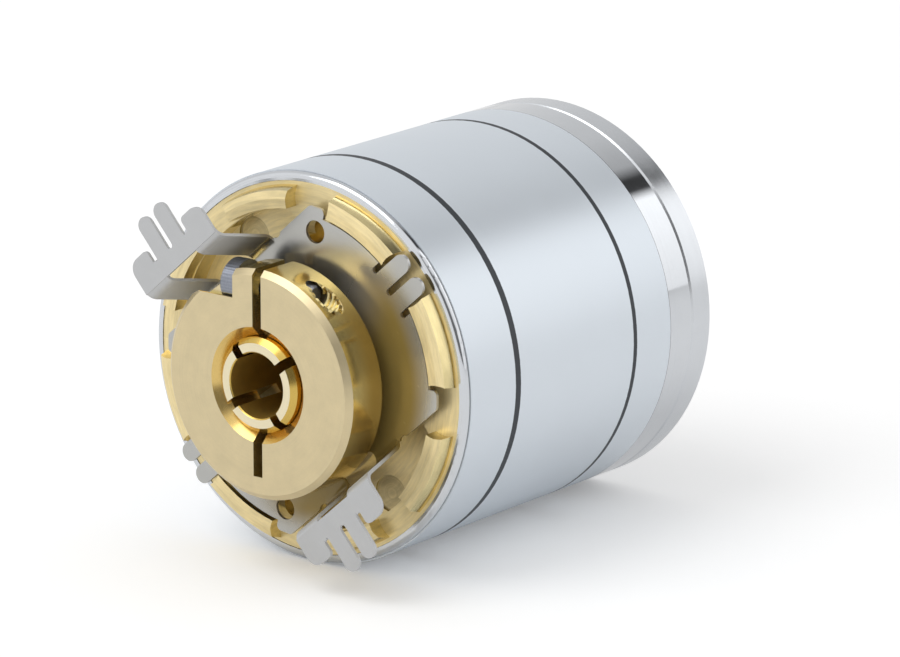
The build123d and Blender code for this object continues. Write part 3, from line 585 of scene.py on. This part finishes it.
@dataclass(frozen=True)
class KnurledSteel(Finish):
    """Dark screw steel with a fine straight knurl round the head.

    Attributes:
        colour: Colour of the steel.
        axis_y: Where the screw's axis lies along the shaft.
        axis_z: Height of the screw's axis.
        head_radius: Radius of the head.
        teeth: Number of ridges round the head.
    """

    colour: Colour
    axis_y: float
    axis_z: float
    head_radius: float
    teeth: int = 44

    def shader(self, tree: ShadeTree, spot: Spot) -> Shade:
        """Build the screw's surface.

        Args:
            tree: The tree that gets the nodes.
            spot: The shaded point.

        Returns:
            The shader.
        """
        up = spot.z - self.axis_z
        along = spot.y - self.axis_y
        reach = (up * up + along * along).root()
        rim = reach.ease(self.head_radius - 0.12, self.head_radius - 0.04)
        ridge = (up.turn_from(along) * self.teeth).sine() * 0.5 + 0.5
        grain = tree.noise(spot.point, 8.0, 3.0)
        # The rim * (1 - ridge) term is painted shade in the knurl's grooves.
        shade = 0.8 + 0.5 * grain - 0.14 * (rim * (1 - ridge))
        colour = tree.scaled(self.colour, shade)
        rough = 0.24 + 0.16 * grain
        inputs = {"Base Color": colour, "Metallic": 1.0, "Roughness": rough}
        return self.skin(tree, inputs, ridge * rim + grain * 0.2, 0.007)


@dataclass(frozen=True)
class PlainMetal(Finish):
    """Ground, stamped or drawn metal with a light grain."""

    colour: Colour
    roughness: float
    grain_scale: float = 6.0

    def shader(self, tree: ShadeTree, spot: Spot) -> Shade:
        """Build the metal.

        Args:
            tree: The tree that gets the nodes.
            spot: The shaded point.

        Returns:
            The shader.
        """
        track = tree.vector(spot.radius * 3.0, spot.y * 5.0, spot.turn * 0.6)
        lines = tree.noise(track, 2.0, 2.0)
        grain = tree.noise(spot.point, self.grain_scale, 2.0)
        shade = 0.92 + 0.10 * lines + 0.06 * grain
        colour = tree.scaled(self.colour, shade)
        rough = self.roughness + 0.08 * (lines - 0.5) + 0.06 * (grain - 0.5)
        inputs = {"Base Color": colour, "Metallic": 1.0, "Roughness": rough}
        return self.skin(tree, inputs, lines, 0.0008)


@dataclass(frozen=True)
class Moulded(Finish):
    """Moulded plastic or rubber with a fine grain and faint flow marks."""

    colour: Colour
    roughness: float
    coat: float = 0.0
    relief: float = 0.004

    def shader(self, tree: ShadeTree, spot: Spot) -> Shade:
        """Build the moulded surface.

        Args:
            tree: The tree that gets the nodes.
            spot: The shaded point.

        Returns:
            The shader.
        """
        cloud = tree.noise(spot.point, 0.8, 2.0)
        grain = tree.noise(spot.point, 11.0, 2.0)
        shade = 0.82 + 0.24 * cloud + 0.12 * grain
        colour = tree.scaled(self.colour, shade)
        rough = self.roughness + 0.12 * (cloud - 0.5)
        inputs = {"Base Color": colour, "Roughness": rough, "Coat Weight": self.coat}
        return self.skin(tree, inputs, grain, self.relief)


@dataclass(frozen=True)
class Laminate(Finish):
    """Green board with paler copper tracks under the lacquer and a bare rim.

    Attributes:
        colour: Colour of the lacquer.
        track: Colour of the lacquer over a track.
        pad: Colour of the bare copper.
        pitch: Distance between tracks.
        rim_radius: Where the bare rim starts.
    """

    colour: Colour
    track: Colour
    pad: Colour
    pitch: float = 0.8
    rim_radius: float = 10.0

    def shader(self, tree: ShadeTree, spot: Spot) -> Shade:
        """Build the board.

        Args:
            tree: The tree that gets the nodes.
            spot: The shaded point.

        Returns:
            The shader.
        """
        bend = tree.noise(spot.point, 0.22, 0.0) * 9.0
        wave = ((spot.x / self.pitch + bend) * math.tau).sine()
        track = wave.ease(0.55, 0.75) * spot.endwise.ease(0.7, 0.9)
        weave = tree.noise(spot.point, 7.0, 2.0)
        rim = (spot.radius - self.rim_radius).ease(0.0, 0.15) * spot.endwise.ease(0.7, 0.9)
        colour = tree.blend(track, self.colour, self.track)
        colour = tree.blend(rim * 0.8, colour, self.pad)
        shade = 0.85 + 0.3 * weave
        colour = tree.scaled(colour, shade)
        inputs = {"Base Color": colour, "Roughness": 0.30 + 0.1 * weave, "Metallic": rim * 0.7}
        return self.skin(tree, inputs, track + weave * 0.2, 0.02)


@dataclass(frozen=True)
class RuledGlass(Finish):
    """Clear glass with a ring of fine dark lines between two border lines.

    Attributes:
        colour: Colour of the glass.
        line_colour: Colour of the lines.
        middle_radius: Middle radius of the ring.
        ring_width: Width of the ring.
        line_count: Number of lines in a full turn.
        clear_alpha: How solid the clear glass looks.
        border_gap: Distance from the ring to the middle of a border line.
    """

    colour: Colour
    line_colour: Colour
    middle_radius: float
    ring_width: float
    line_count: int
    clear_alpha: float = 0.35
    border_gap: float = 0.12

    def shader(self, tree: ShadeTree, spot: Spot) -> Shade:
        """Build the glass and its lines.

        Args:
            tree: The tree that gets the nodes.
            spot: The shaded point.

        Returns:
            The shader.
        """
        away = abs(spot.radius - self.middle_radius)
        half = self.ring_width / 2
        band = away.ease(half + PRINT_EDGE, half - PRINT_EDGE)
        ruled = (spot.turn * self.line_count).sine().ease(-0.15, 0.15)
        border = abs(away - half - self.border_gap).ease(0.07, 0.04)
        mark = (band * ruled).larger(border) * spot.endwise.ease(0.7, 0.9)
        smudge = tree.noise(spot.point, 0.6, 2.0)
        colour = tree.blend(mark, self.colour, self.line_colour)
        inputs = {
            "Base Color": colour,
            "Metallic": mark * 0.9,
            "Roughness": 0.05 + 0.06 * smudge + 0.12 * mark,
            "Alpha": self.clear_alpha + (1.0 - self.clear_alpha) * mark,
            "IOR": 1.52,
        }
        return self.skin(tree, inputs, mark, 0.001)


BRASS_WALL = tone(221, 201, 140)
BRASS_FACE = tone(219, 203, 164)
STEEL = tone(190, 190, 187)
TRACK_RADIUS = 8.0
TRACK_WIDTH = 1.1
TRACK_LINES = 500


def dress(node: str, finish: Finish) -> None:
    """Give a solid its finish on all its material slots.

    Args:
        node: The solid's name.
        finish: The finish that it gets.
    """
    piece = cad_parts[node]
    made = finish.material()
    for material_slot in piece.material_slots:
        material_slot.material = made
    LOG.info("solid %s: %s", node, finish.name)


def add_piece(
    name: str,
    points: Sequence[Sequence[float]],
    faces: Sequence[Sequence[int]],
    body: str,
    finish: Finish,
) -> bpy.types.Object:
    """Make a new piece from points in millimetres and let it ride on a body.

    Args:
        name: The piece's name.
        points: Its corners, in millimetres.
        faces: Its faces, by corner numbers.
        body: The body that carries it.
        finish: The finish that it gets.

    Returns:
        The new object.
    """
    mesh = bpy.data.meshes.new(name)
    mesh.from_pydata([tuple(c * MM for c in p) for p in points], [], [tuple(f) for f in faces])
    mesh.validate()
    mesh.polygons.foreach_set("use_smooth", [True] * len(mesh.polygons))
    mesh.set_sharp_from_angle(angle=math.radians(40))
    mesh.materials.append(finish.material())
    piece = bpy.data.objects.new(name, mesh)
    bpy.context.scene.collection.objects.link(piece)
    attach(piece, body)
    LOG.info("piece %s: %d faces on %s", name, len(mesh.polygons), body)
    return piece


def box_mesh(low: Sequence[float], high: Sequence[float], start: int = 0) -> Mesh:
    """Corners and faces of an upright box.

    Args:
        low: Its lowest corner, in millimetres.
        high: Its highest corner, in millimetres.
        start: The number of its first corner.

    Returns:
        The corners, and the faces with their normals outwards.
    """
    across, along, up = zip(low, high)
    points = [(x, y, z) for x in across for y in along for z in up]
    quads = [(0, 1, 3, 2), (4, 6, 7, 5), (0, 4, 5, 1), (2, 3, 7, 6), (0, 2, 6, 4), (1, 5, 7, 3)]
    return points, [tuple(corner + start for corner in quad) for quad in quads]


def circle(reach: float, sides: int) -> list[tuple[float, float]]:
    """Corners round the origin.

    Args:
        reach: Their distance from it.
        sides: How many there are.

    Returns:
        The two coordinates of each corner.
    """
    turns = [side * math.tau / sides for side in range(sides)]
    return [(reach * math.cos(turn), reach * math.sin(turn)) for turn in turns]


def ring_faces(rows: int, sides: int, start: int = 0) -> list[tuple[int, ...]]:
    """Faces between rings of corners that follow each other.

    Args:
        rows: Number of rings.
        sides: Corners in each ring.
        start: The number of the first corner.

    Returns:
        The faces.
    """
    faces: list[tuple[int, ...]] = []
    for row in range(rows - 1):
        first = start + row * sides
        for side in range(sides):
            here, after = first + side, first + (side + 1) % sides
            faces.append((here, after, after + sides, here + sides))
    return faces


@dataclass
class Flange:
    """Brass body and the spring plate seated in its rim.

    Attributes:
        cutter_marks: Middle x and z and radius of the marks on the pocket floors.
    """

    cutter_marks: tuple[tuple[float, float, float], ...] = (
        (5.20, -7.10, 1.15), (-5.20, 7.10, 1.15),
    )

    def build(self) -> None:
        """Dress the flange body and the spring."""
        brass = CutMetal(
            "flange_brass_cut", tone(228, 211, 158), tone(241, 222, 170), 0.20, 0.40,
            Wear.MILLED, blotch=0.24, streak=0.60, depth=0.002,
            marks=self.cutter_marks, face_matt=0.30,
        )
        dress("flange_body", brass)
        # The third colour is the painted reflection of the brass clamp ring on the plate.
        sheet = SpringSheet("spring_sheet", STEEL, tone(197, 198, 199), tone(143, 122, 66))
        dress("stator_spring", sheet)


@dataclass
class Housing:
    """Aluminium sleeve with its satin wrap, the rear cap, seals and grommet.

    Attributes:
        rule_places: Middle y and width of the two printed lines.
    """

    rule_places: tuple[tuple[float, float], ...] = ((9.72, 0.50), (21.30, 0.36))

    def build(self) -> None:
        """Dress the sleeve, the wrap, the cap and the rubber pieces."""
        # Both turned bands get thin lines of painted shade at their joints.
        band = CutMetal(
            "turned_aluminium", tone(216, 219, 223), tone(216, 219, 223), 0.06, 0.16,
            line_pitch=0.05, blotch=0.06, depth=0.0006, joint_shade=((5.20, 0.06), (24.92, 0.03)),
        )
        cap = CutMetal(
            "turned_cap_aluminium", tone(216, 219, 223), tone(212, 215, 219), 0.24, 0.30,
            line_pitch=0.06, blotch=0.08, depth=0.0010, joint_shade=((27.15, 0.05),),
        )
        foil = SatinFoil("satin_wrap", tone(222, 229, 236), tone(46, 50, 56), self.rule_places)
        dress("housing_sleeve", band)
        dress("rear_cap", cap)
        dress("sleeve_wrap", foil)
        seal = Moulded("seal_rubber_smooth", tone(44, 44, 46), 0.45, relief=0.002)
        dress("front_seal_ring", seal)
        dress("rear_seal_ring", seal)
        dress("cable_grommet", Moulded("grommet_rubber_matt", tone(40, 40, 42), 0.62))


@dataclass
class Clamp:
    """Split clamp ring with its screw and the thread that shows in its side.

    Attributes:
        screw_y: Where the screw's axis lies along the shaft.
        screw_z: Height of the screw's axis.
        ring_radius: Outer radius of the ring.
        hole_radius: Radius of the side hole.
        crest_radius: Radius of the thread's crest.
        pitch: Pitch of the thread.
        flank_reach: Half of the ridge's foot, as a share of the pitch.
        crest_reach: Half of the ridge's crest, as a share of the pitch.
        thread_start: Where the thread starts along the hole.
        thread_end: Where it ends.
        steps_per_turn: Steps of the ridge in one turn.
        head_radius: Radius of the screw's head.
        tip_radius: Radius of the screw's point.
        tip_start: Where the point starts along the screw.
        tip_end: Where it ends.
        tip_bevel: Length and depth of the bevel round its end.
        tip_sides: Number of sides that make it round.
    """

    screw_y: float = 1.65
    screw_z: float = 5.65
    ring_radius: float = 7.0
    hole_radius: float = 0.845
    crest_radius: float = 0.66
    pitch: float = 0.35
    flank_reach: float = 0.45
    crest_reach: float = 0.06
    thread_start: float = 3.25
    thread_end: float = 5.35
    steps_per_turn: int = 32
    head_radius: float = 1.4
    tip_radius: float = 0.63
    tip_start: float = 2.6
    tip_end: float = 3.22
    tip_bevel: tuple[float, float] = (0.12, 0.13)
    tip_sides: int = 40

    def build(self) -> None:
        """Dress the ring and its screw, and add thread and point."""
        ring = CutMetal(
            "clamp_ring_brass", tone(224, 201, 130), BRASS_FACE, 0.15, 0.40,
            blotch=0.20, depth=0.0014, end_from=0.5, wall_matt=0.10,
            bore_radius=3.7, bore_colour=tone(228, 196, 122), bore_roughness=0.22, bore_relief=0.0,
        )
        dress("clamp_ring", ring)
        screw = KnurledSteel(
            "dark_screw_steel", tone(146, 150, 160), self.screw_y, self.screw_z, self.head_radius
        )
        dress("clamp_screw", screw)
        self.thread()
        self.screw_tip(screw)

    def thread(self) -> bpy.types.Object:
        """Make the thread's ridge, trimmed where the hole leaves the ring.

        Returns:
            The ridge as a piece on the shaft.
        """
        turns = (self.thread_end - self.thread_start) / self.pitch
        flank, crest = self.flank_reach, self.crest_reach
        profile = [(-flank, 0.0), (-crest, 1.0), (crest, 1.0), (flank, 0.0)]
        points: list[tuple[float, float, float]] = []
        kept: list[bool] = []
        steps = int(turns * self.steps_per_turn)
        rise = self.hole_radius - self.crest_radius
        for step in range(steps + 1):
            turn = step * math.tau / self.steps_per_turn
            middle = self.thread_start + self.pitch * step / self.steps_per_turn
            for along, height in profile:
                reach = self.hole_radius - rise * height
                x = middle + along * self.pitch
                z = self.screw_z + reach * math.sin(turn)
                y = self.screw_y + reach * math.cos(turn)
                limit = math.sqrt(self.ring_radius**2 - z * z)
                kept.append(x <= limit)
                points.append((min(x, limit), y, z))
        faces = []
        width = len(profile)
        for step in range(steps):
            for index in range(width - 1):
                first = step * width + index
                quad = (first, first + 1, first + width + 1, first + width)
                if any(kept[corner] for corner in quad):
                    faces.append(quad)
        brass = CutMetal("thread_brass", tone(226, 208, 150), tone(226, 208, 150), 0.22, 0.22)
        return add_piece("clamp_hole_thread", points, faces, "shaft", brass)

    def screw_tip(self, finish: Finish) -> bpy.types.Object:
        """Make the screw's dog point, which shows in the threaded hole.

        Args:
            finish: The screw's finish.

        Returns:
            The point as a piece on the screw.
        """
        length, drop = self.tip_bevel
        profile = [
            (self.tip_start, self.tip_radius), (self.tip_end - length, self.tip_radius),
            (self.tip_end, self.tip_radius - drop), (self.tip_end, 0.0),
        ]
        points = [
            (x, self.screw_y + along, self.screw_z + up)
            for x, reach in profile
            for along, up in circle(reach, self.tip_sides)
        ]
        faces = ring_faces(len(profile), self.tip_sides)
        return add_piece(
            "clamp_screw_tip", points, faces, "clamp_screw", finish
        )


@dataclass
class Shaft:
    """Hollow shaft and what is fastened on it.

    Attributes:
        bore_radius: Radius of the shaft's bore.
    """

    bore_radius: float = 2.0

    def build(self) -> None:
        """Dress the shaft, its spacers and the code disc."""
        brass = CutMetal(
            "shaft_brass_bright", tone(216, 184, 98), tone(240, 228, 194), 0.22, 0.30,
            line_pitch=0.09, blotch=0.10, depth=0.003,
            bore_radius=self.bore_radius, bore_colour=tone(216, 184, 98),
        )
        dress("hollow_shaft", brass)
        steel = PlainMetal("spacer_ground_steel", tone(196, 198, 202), 0.26)
        for node in ("inner_spacer", "preload_washer", "disc_washer", "shaft_retaining_ring"):
            dress(node, steel)
        hub = CutMetal("hub_turned_aluminium", tone(222, 224, 228), tone(214, 216, 220), 0.2, 0.3)
        dress("disc_hub", hub)
        disc = RuledGlass(
            "disc_ruled_glass", tone(214, 226, 230), tone(52, 54, 60),
            TRACK_RADIUS, TRACK_WIDTH, TRACK_LINES,
        )
        dress("code_disc", disc)


@dataclass
class Bearing:
    """One ball bearing, front or rear: rings, shields, balls and cage."""

    place: str

    def build(self) -> None:
        """Dress the bearing's pieces."""
        metals = (
            ("outer_ring", "ring_steel", tone(206, 208, 212), 0.18),
            ("inner_ring", "ring_steel", tone(206, 208, 212), 0.18),
            ("shields", "shield_steel", tone(200, 202, 206), 0.30),
            ("balls", "ball_steel", tone(226, 228, 232), 0.06),
            ("cage", "cage_brass", tone(214, 176, 98), 0.32),
        )
        for piece, metal, colour, roughness in metals:
            finish = PlainMetal(f"{self.place}_{metal}", colour, roughness)
            dress(f"{self.place}_bearing_{piece}", finish)


@dataclass
class Optics:
    """Light source in front of the disc, mask and detector behind it."""

    def build(self) -> None:
        """Dress the optical pieces."""
        dress("led_holder", Moulded("holder_black_plastic", tone(46, 46, 49), 0.5))
        dress("led", Moulded("led_red_lens", tone(176, 40, 44), 0.12, coat=0.6, relief=0.001))
        dress("led_leads", PlainMetal("lead_tinned_wire", tone(214, 213, 208), 0.28))
        dress("led_holder_screws", PlainMetal("small_screw_bright", tone(204, 206, 210), 0.24))
        mask = RuledGlass(
            "mask_ruled_glass", tone(206, 216, 220), tone(48, 50, 56),
            TRACK_RADIUS, TRACK_WIDTH, TRACK_LINES, clear_alpha=0.5,
        )
        dress("reticle", mask)
        dress("sensor_chip", Moulded("sensor_package", tone(40, 40, 44), 0.42, coat=0.15))


@dataclass
class Boards:
    """Two circuit boards on pillars, with what is soldered to them.

    Attributes:
        pin_count: Pins of the header.
        pin_spacing: Distance between them.
        header_z: Height of the row of pins.
        solder_profile: Distance from the pin's axis and height over the board.
        solder_sides: Number of sides that make a joint round.
        driver_rear: Rear face of the driver board.
        sensor_front: Front face of the sensor board.
        chip_middles: Middle x of each chip.
        chip_z: Middle z of the chips.
        chip_size: Width of a chip.
        leg_count: Legs on each side of a chip.
        leg_spacing: Distance between them.
        leg_width: Width of a leg.
        leg_boxes: Start and end off the chip, low and high over the board, of each
            piece of a leg.
    """

    pin_count: int = 5
    pin_spacing: float = 1.27
    header_z: float = -6.7
    solder_profile: tuple[tuple[float, float], ...] = (
        (0.20, 0.38), (0.26, 0.25), (0.32, 0.12), (0.42, 0.0),
    )
    solder_sides: int = 16
    driver_rear: float = 23.9
    sensor_front: float = 18.9
    chip_middles: tuple[float, ...] = (-4.2, 4.2)
    chip_z: float = 1.5
    chip_size: float = 5.0
    leg_count: int = 7
    leg_spacing: float = 0.65
    leg_width: float = 0.24
    leg_boxes: tuple[tuple[float, float, float, float], ...] = (
        (0.0, 0.25, 0.42, 0.54), (0.15, 0.27, 0.02, 0.54), (0.15, 0.5, 0.0, 0.12),
    )

    def build(self) -> None:
        """Dress the boards and add solder and chip legs."""
        green = Laminate(
            "board_green_lacquer", tone(34, 104, 66), tone(58, 138, 88), tone(196, 170, 104)
        )
        dress("sensor_board", green)
        dress("driver_board", green)
        dress("board_pillars", CutMetal("pillar_brass_turned", BRASS_WALL, BRASS_FACE, 0.24, 0.32))
        dress("board_spacers", Moulded("spacer_nylon", tone(222, 220, 208), 0.48))
        dress("driver_components", Moulded("chip_package", tone(42, 42, 46), 0.4, coat=0.1))
        dress("pin_header", Moulded("header_black", tone(44, 44, 46), 0.42))
        dress("board_screws", PlainMetal("board_screw_bright", tone(204, 206, 210), 0.24))
        self.solder_joints()
        self.chip_legs()

    def solder_joints(self) -> bpy.types.Object:
        """Make a small cone of solder round each pin of the header.

        Returns:
            The joints as one piece.
        """
        points: list[tuple[float, ...]] = []
        faces: list[tuple[int, ...]] = []
        for plane, outward in ((self.driver_rear, 1), (self.sensor_front, -1)):
            for pin in range(self.pin_count):
                x = (pin - (self.pin_count - 1) / 2) * self.pin_spacing
                new_points, new_faces = self._cone(x, plane, outward, len(points))
                points.extend(new_points)
                faces.extend(new_faces)
        solder = PlainMetal("solder_tin", tone(206, 208, 210), 0.22)
        return add_piece("header_solder_joints", points, faces, "housing", solder)

    def _cone(self, x: float, plane: float, outward: int, start: int) -> Mesh:
        """Make one solder joint.

        Args:
            x: Where the pin stands.
            plane: The board's face that carries the joint.
            outward: 1 where that face looks to the rear, else -1.
            start: The number of the joint's first corner.

        Returns:
            Its corners, and its faces with their normals outwards.
        """
        points = [
            (x + across, plane + outward * height, self.header_z + up)
            for reach, height in self.solder_profile
            for across, up in circle(reach, self.solder_sides)
        ]
        faces = ring_faces(len(self.solder_profile), self.solder_sides, start)
        if outward > 0:
            faces = [face[::-1] for face in faces]
        return points, faces

    def chip_legs(self) -> bpy.types.Object:
        """Make the bent legs along both sides of each chip.

        Returns:
            The legs as one piece.
        """
        points: list[tuple[float, ...]] = []
        faces: list[tuple[int, ...]] = []
        for middle in self.chip_middles:
            for side in (-1, 1):
                edge = middle + side * self.chip_size / 2
                for leg in range(self.leg_count):
                    z = self.chip_z + (leg - (self.leg_count - 1) / 2) * self.leg_spacing
                    for inner, outer, low_y, high_y in self.leg_boxes:
                        near, far = sorted((edge + side * inner, edge + side * outer))
                        low = (near, self.driver_rear + low_y, z - self.leg_width / 2)
                        high = (far, self.driver_rear + high_y, z + self.leg_width / 2)
                        new_points, new_faces = box_mesh(low, high, len(points))
                        points.extend(new_points)
                        faces.extend(new_faces)
        tin = PlainMetal("leg_tin", tone(200, 201, 203), 0.26)
        return add_piece("chip_legs", points, faces, "housing", tin)


@dataclass
class Studio:
    """Camera, floor, lamp and surroundings.

    Attributes:
        camera_place: Where the camera stands.
        camera_aim: The point that camera and lamp look at.
        lens: The camera's focal length.
        sensor: Width of its sensor.
        floor_level: Height of the floor.
        floor_size: Side of the floor.
        floor_lift: How much the floor glows for the camera.
        soft_light: Brightness of the even light.
        ahead_level: Brightness of what metal mirrors from the front.
        ahead_reach: Share of y where the front starts and where it is full.
        tent_levels: Position round the shaft's direction and brightness of the sides.
        dark_side: Direction of the dark patch.
        dark_reach: Cosine of the angle from it where the patch starts and is full.
        dark_share: How far it covers what lies behind.
        dark_level: Its brightness.
        key_place: Where the lamp hangs.
        key_size: Side of the lamp.
        key_watts: Power of the lamp.
    """

    camera_place: Point = (210.3, -249.0, 92.6)
    camera_aim: Point = (8.513, 7.644, 3.309)
    lens: float = 230.7
    sensor: float = 36.0
    floor_level: float = -12.0
    floor_size: float = 6000.0
    floor_lift: float = 0.17
    soft_light: float = 0.74
    ahead_level: float = 0.94
    ahead_reach: tuple[float, float] = (0.1, -0.35)
    tent_levels: tuple[tuple[float, float], ...] = (
        (0.00, 0.80), (0.44, 0.90), (0.50, 1.05), (0.60, 1.30), (0.658, 1.40),
        (0.676, 0.06), (0.698, 0.05), (0.723, 0.50), (0.80, 0.68), (1.00, 0.80),
    )
    dark_side: Point = (0.62, -0.74, 0.26)
    dark_reach: tuple[float, float] = (0.86, 0.95)
    dark_share: float = 0.85
    dark_level: float = 0.04
    key_place: Point = (-160.0, -330.0, 520.0)
    key_size: float = 420.0
    key_watts: float = 1.15

    def build(self) -> None:
        """Set up everything round the object."""
        scene = bpy.context.scene
        scene.view_settings.view_transform = "Standard"
        self.camera(scene)
        self.floor()
        self.lamp()
        self.surroundings(scene)

    def camera(self, scene: bpy.types.Scene) -> None:
        """Place the camera at the photo's view.

        Args:
            scene: The scene that gets the camera.
        """
        data = bpy.data.cameras.new("view")
        data.lens = self.lens
        data.sensor_width = self.sensor
        data.clip_start = 0.01
        data.clip_end = 100.0
        scene.camera = self._aimed("view", data, self.camera_place)

    def _aimed(self, name: str, data: bpy.types.ID, place: Point) -> bpy.types.Object:
        """Put a camera or a lamp in its place and point it at the object.

        Args:
            name: Its name.
            data: The camera or the lamp.
            place: Where it goes, in millimetres.

        Returns:
            The new object.
        """
        made = bpy.data.objects.new(name, data)
        made.location = Vector(place) * MM
        aim = Vector(self.camera_aim) * MM - made.location
        made.rotation_euler = aim.to_track_quat("-Z", "Y").to_euler()
        bpy.context.scene.collection.objects.link(made)
        return made

    def floor(self) -> None:
        """Lay the pale floor."""
        half = self.floor_size / 2 * MM
        level = self.floor_level * MM
        mesh = bpy.data.meshes.new("floor")
        signs = ((-1, -1), (1, -1), (1, 1), (-1, 1))
        corners = [(x * half, y * half, level) for x, y in signs]
        mesh.from_pydata(corners, [], [(0, 1, 2, 3)])
        made = bpy.data.materials.new("floor_paper")
        made.use_nodes = True
        tree = ShadeTree(made.node_tree)
        seen = tree.add("ShaderNodeLightPath", {}, {}, "Is Camera Ray")
        paper = {
            "Base Color": (0.95, 0.95, 0.95, 1.0),
            "Roughness": 1.0,
            "Specular IOR Level": 0.0,
            "Emission Color": tree.blend(seen, (0.0, 0.0, 0.0), (1.0, 1.0, 1.0)),
            "Emission Strength": self.floor_lift,
        }
        tree.finish_with(tree.add("ShaderNodeBsdfPrincipled", {}, paper))
        mesh.materials.append(made)
        plane = bpy.data.objects.new("floor", mesh)
        bpy.context.scene.collection.objects.link(plane)

    def lamp(self) -> None:
        """Hang the soft square lamp."""
        data = bpy.data.lights.new("key_lamp", "AREA")
        data.shape = "SQUARE"
        data.size = self.key_size * MM
        data.energy = self.key_watts
        self._aimed("key_lamp", data, self.key_place)

    def surroundings(self, scene: bpy.types.Scene) -> None:
        """Light the object evenly and let metal mirror a tent with a dark gap.

        Args:
            scene: The scene whose world is set.
        """
        world = bpy.data.worlds.new("tent")
        scene.world = world
        world.use_nodes = True
        tree = ShadeTree(world.node_tree)
        way = tree.add("ShaderNodeTexCoord", {}, {}, "Generated")
        x, y, z = tree.axes(way)
        around = z.turn_from(x) / math.tau + 0.5
        stops = [(position, (level, level, level)) for position, level in self.tent_levels]
        side = tree.add("ShaderNodeValToRGB", {"stops": stops}, {"Fac": around})
        ahead = y.ease(*self.ahead_reach)
        mirrored = tree.blend(ahead, side, (self.ahead_level,) * 3)
        dot = {"operation": "DOT_PRODUCT"}
        toward = tree.add("ShaderNodeVectorMath", dot, {0: way, 1: self.dark_side}, "Value")
        patch = toward.ease(*self.dark_reach) * self.dark_share
        mirrored = tree.blend(patch, mirrored, (self.dark_level,) * 3)
        ray = "ShaderNodeLightPath"
        direct = tree.add(ray, {}, {}, "Is Camera Ray")
        seen = direct.larger(tree.add(ray, {}, {}, "Is Transmission Ray"))
        glossy = tree.add(ray, {}, {}, "Is Glossy Ray")
        colour = tree.blend(glossy, (self.soft_light,) * 3, mirrored)
        colour = tree.blend(seen, colour, (1.0, 1.0, 1.0))
        glow = tree.add("ShaderNodeBackground", {}, {"Color": colour, "Strength": 1.0})
        tree.finish_with(glow, "ShaderNodeOutputWorld")


def main() -> None:
    """Build the sub-assemblies and the studio."""
    logging.basicConfig(level=logging.INFO, format="%(name)s: %(message)s")
    parts = [
        Clamp(), Flange(), Shaft(), Bearing("front"), Bearing("rear"),
        Optics(), Boards(), Housing(),
    ]
    for part in parts:
        LOG.info("building %s", type(part).__name__)
        part.build()
    Studio().build()


if __name__ == "__main__":
    main()
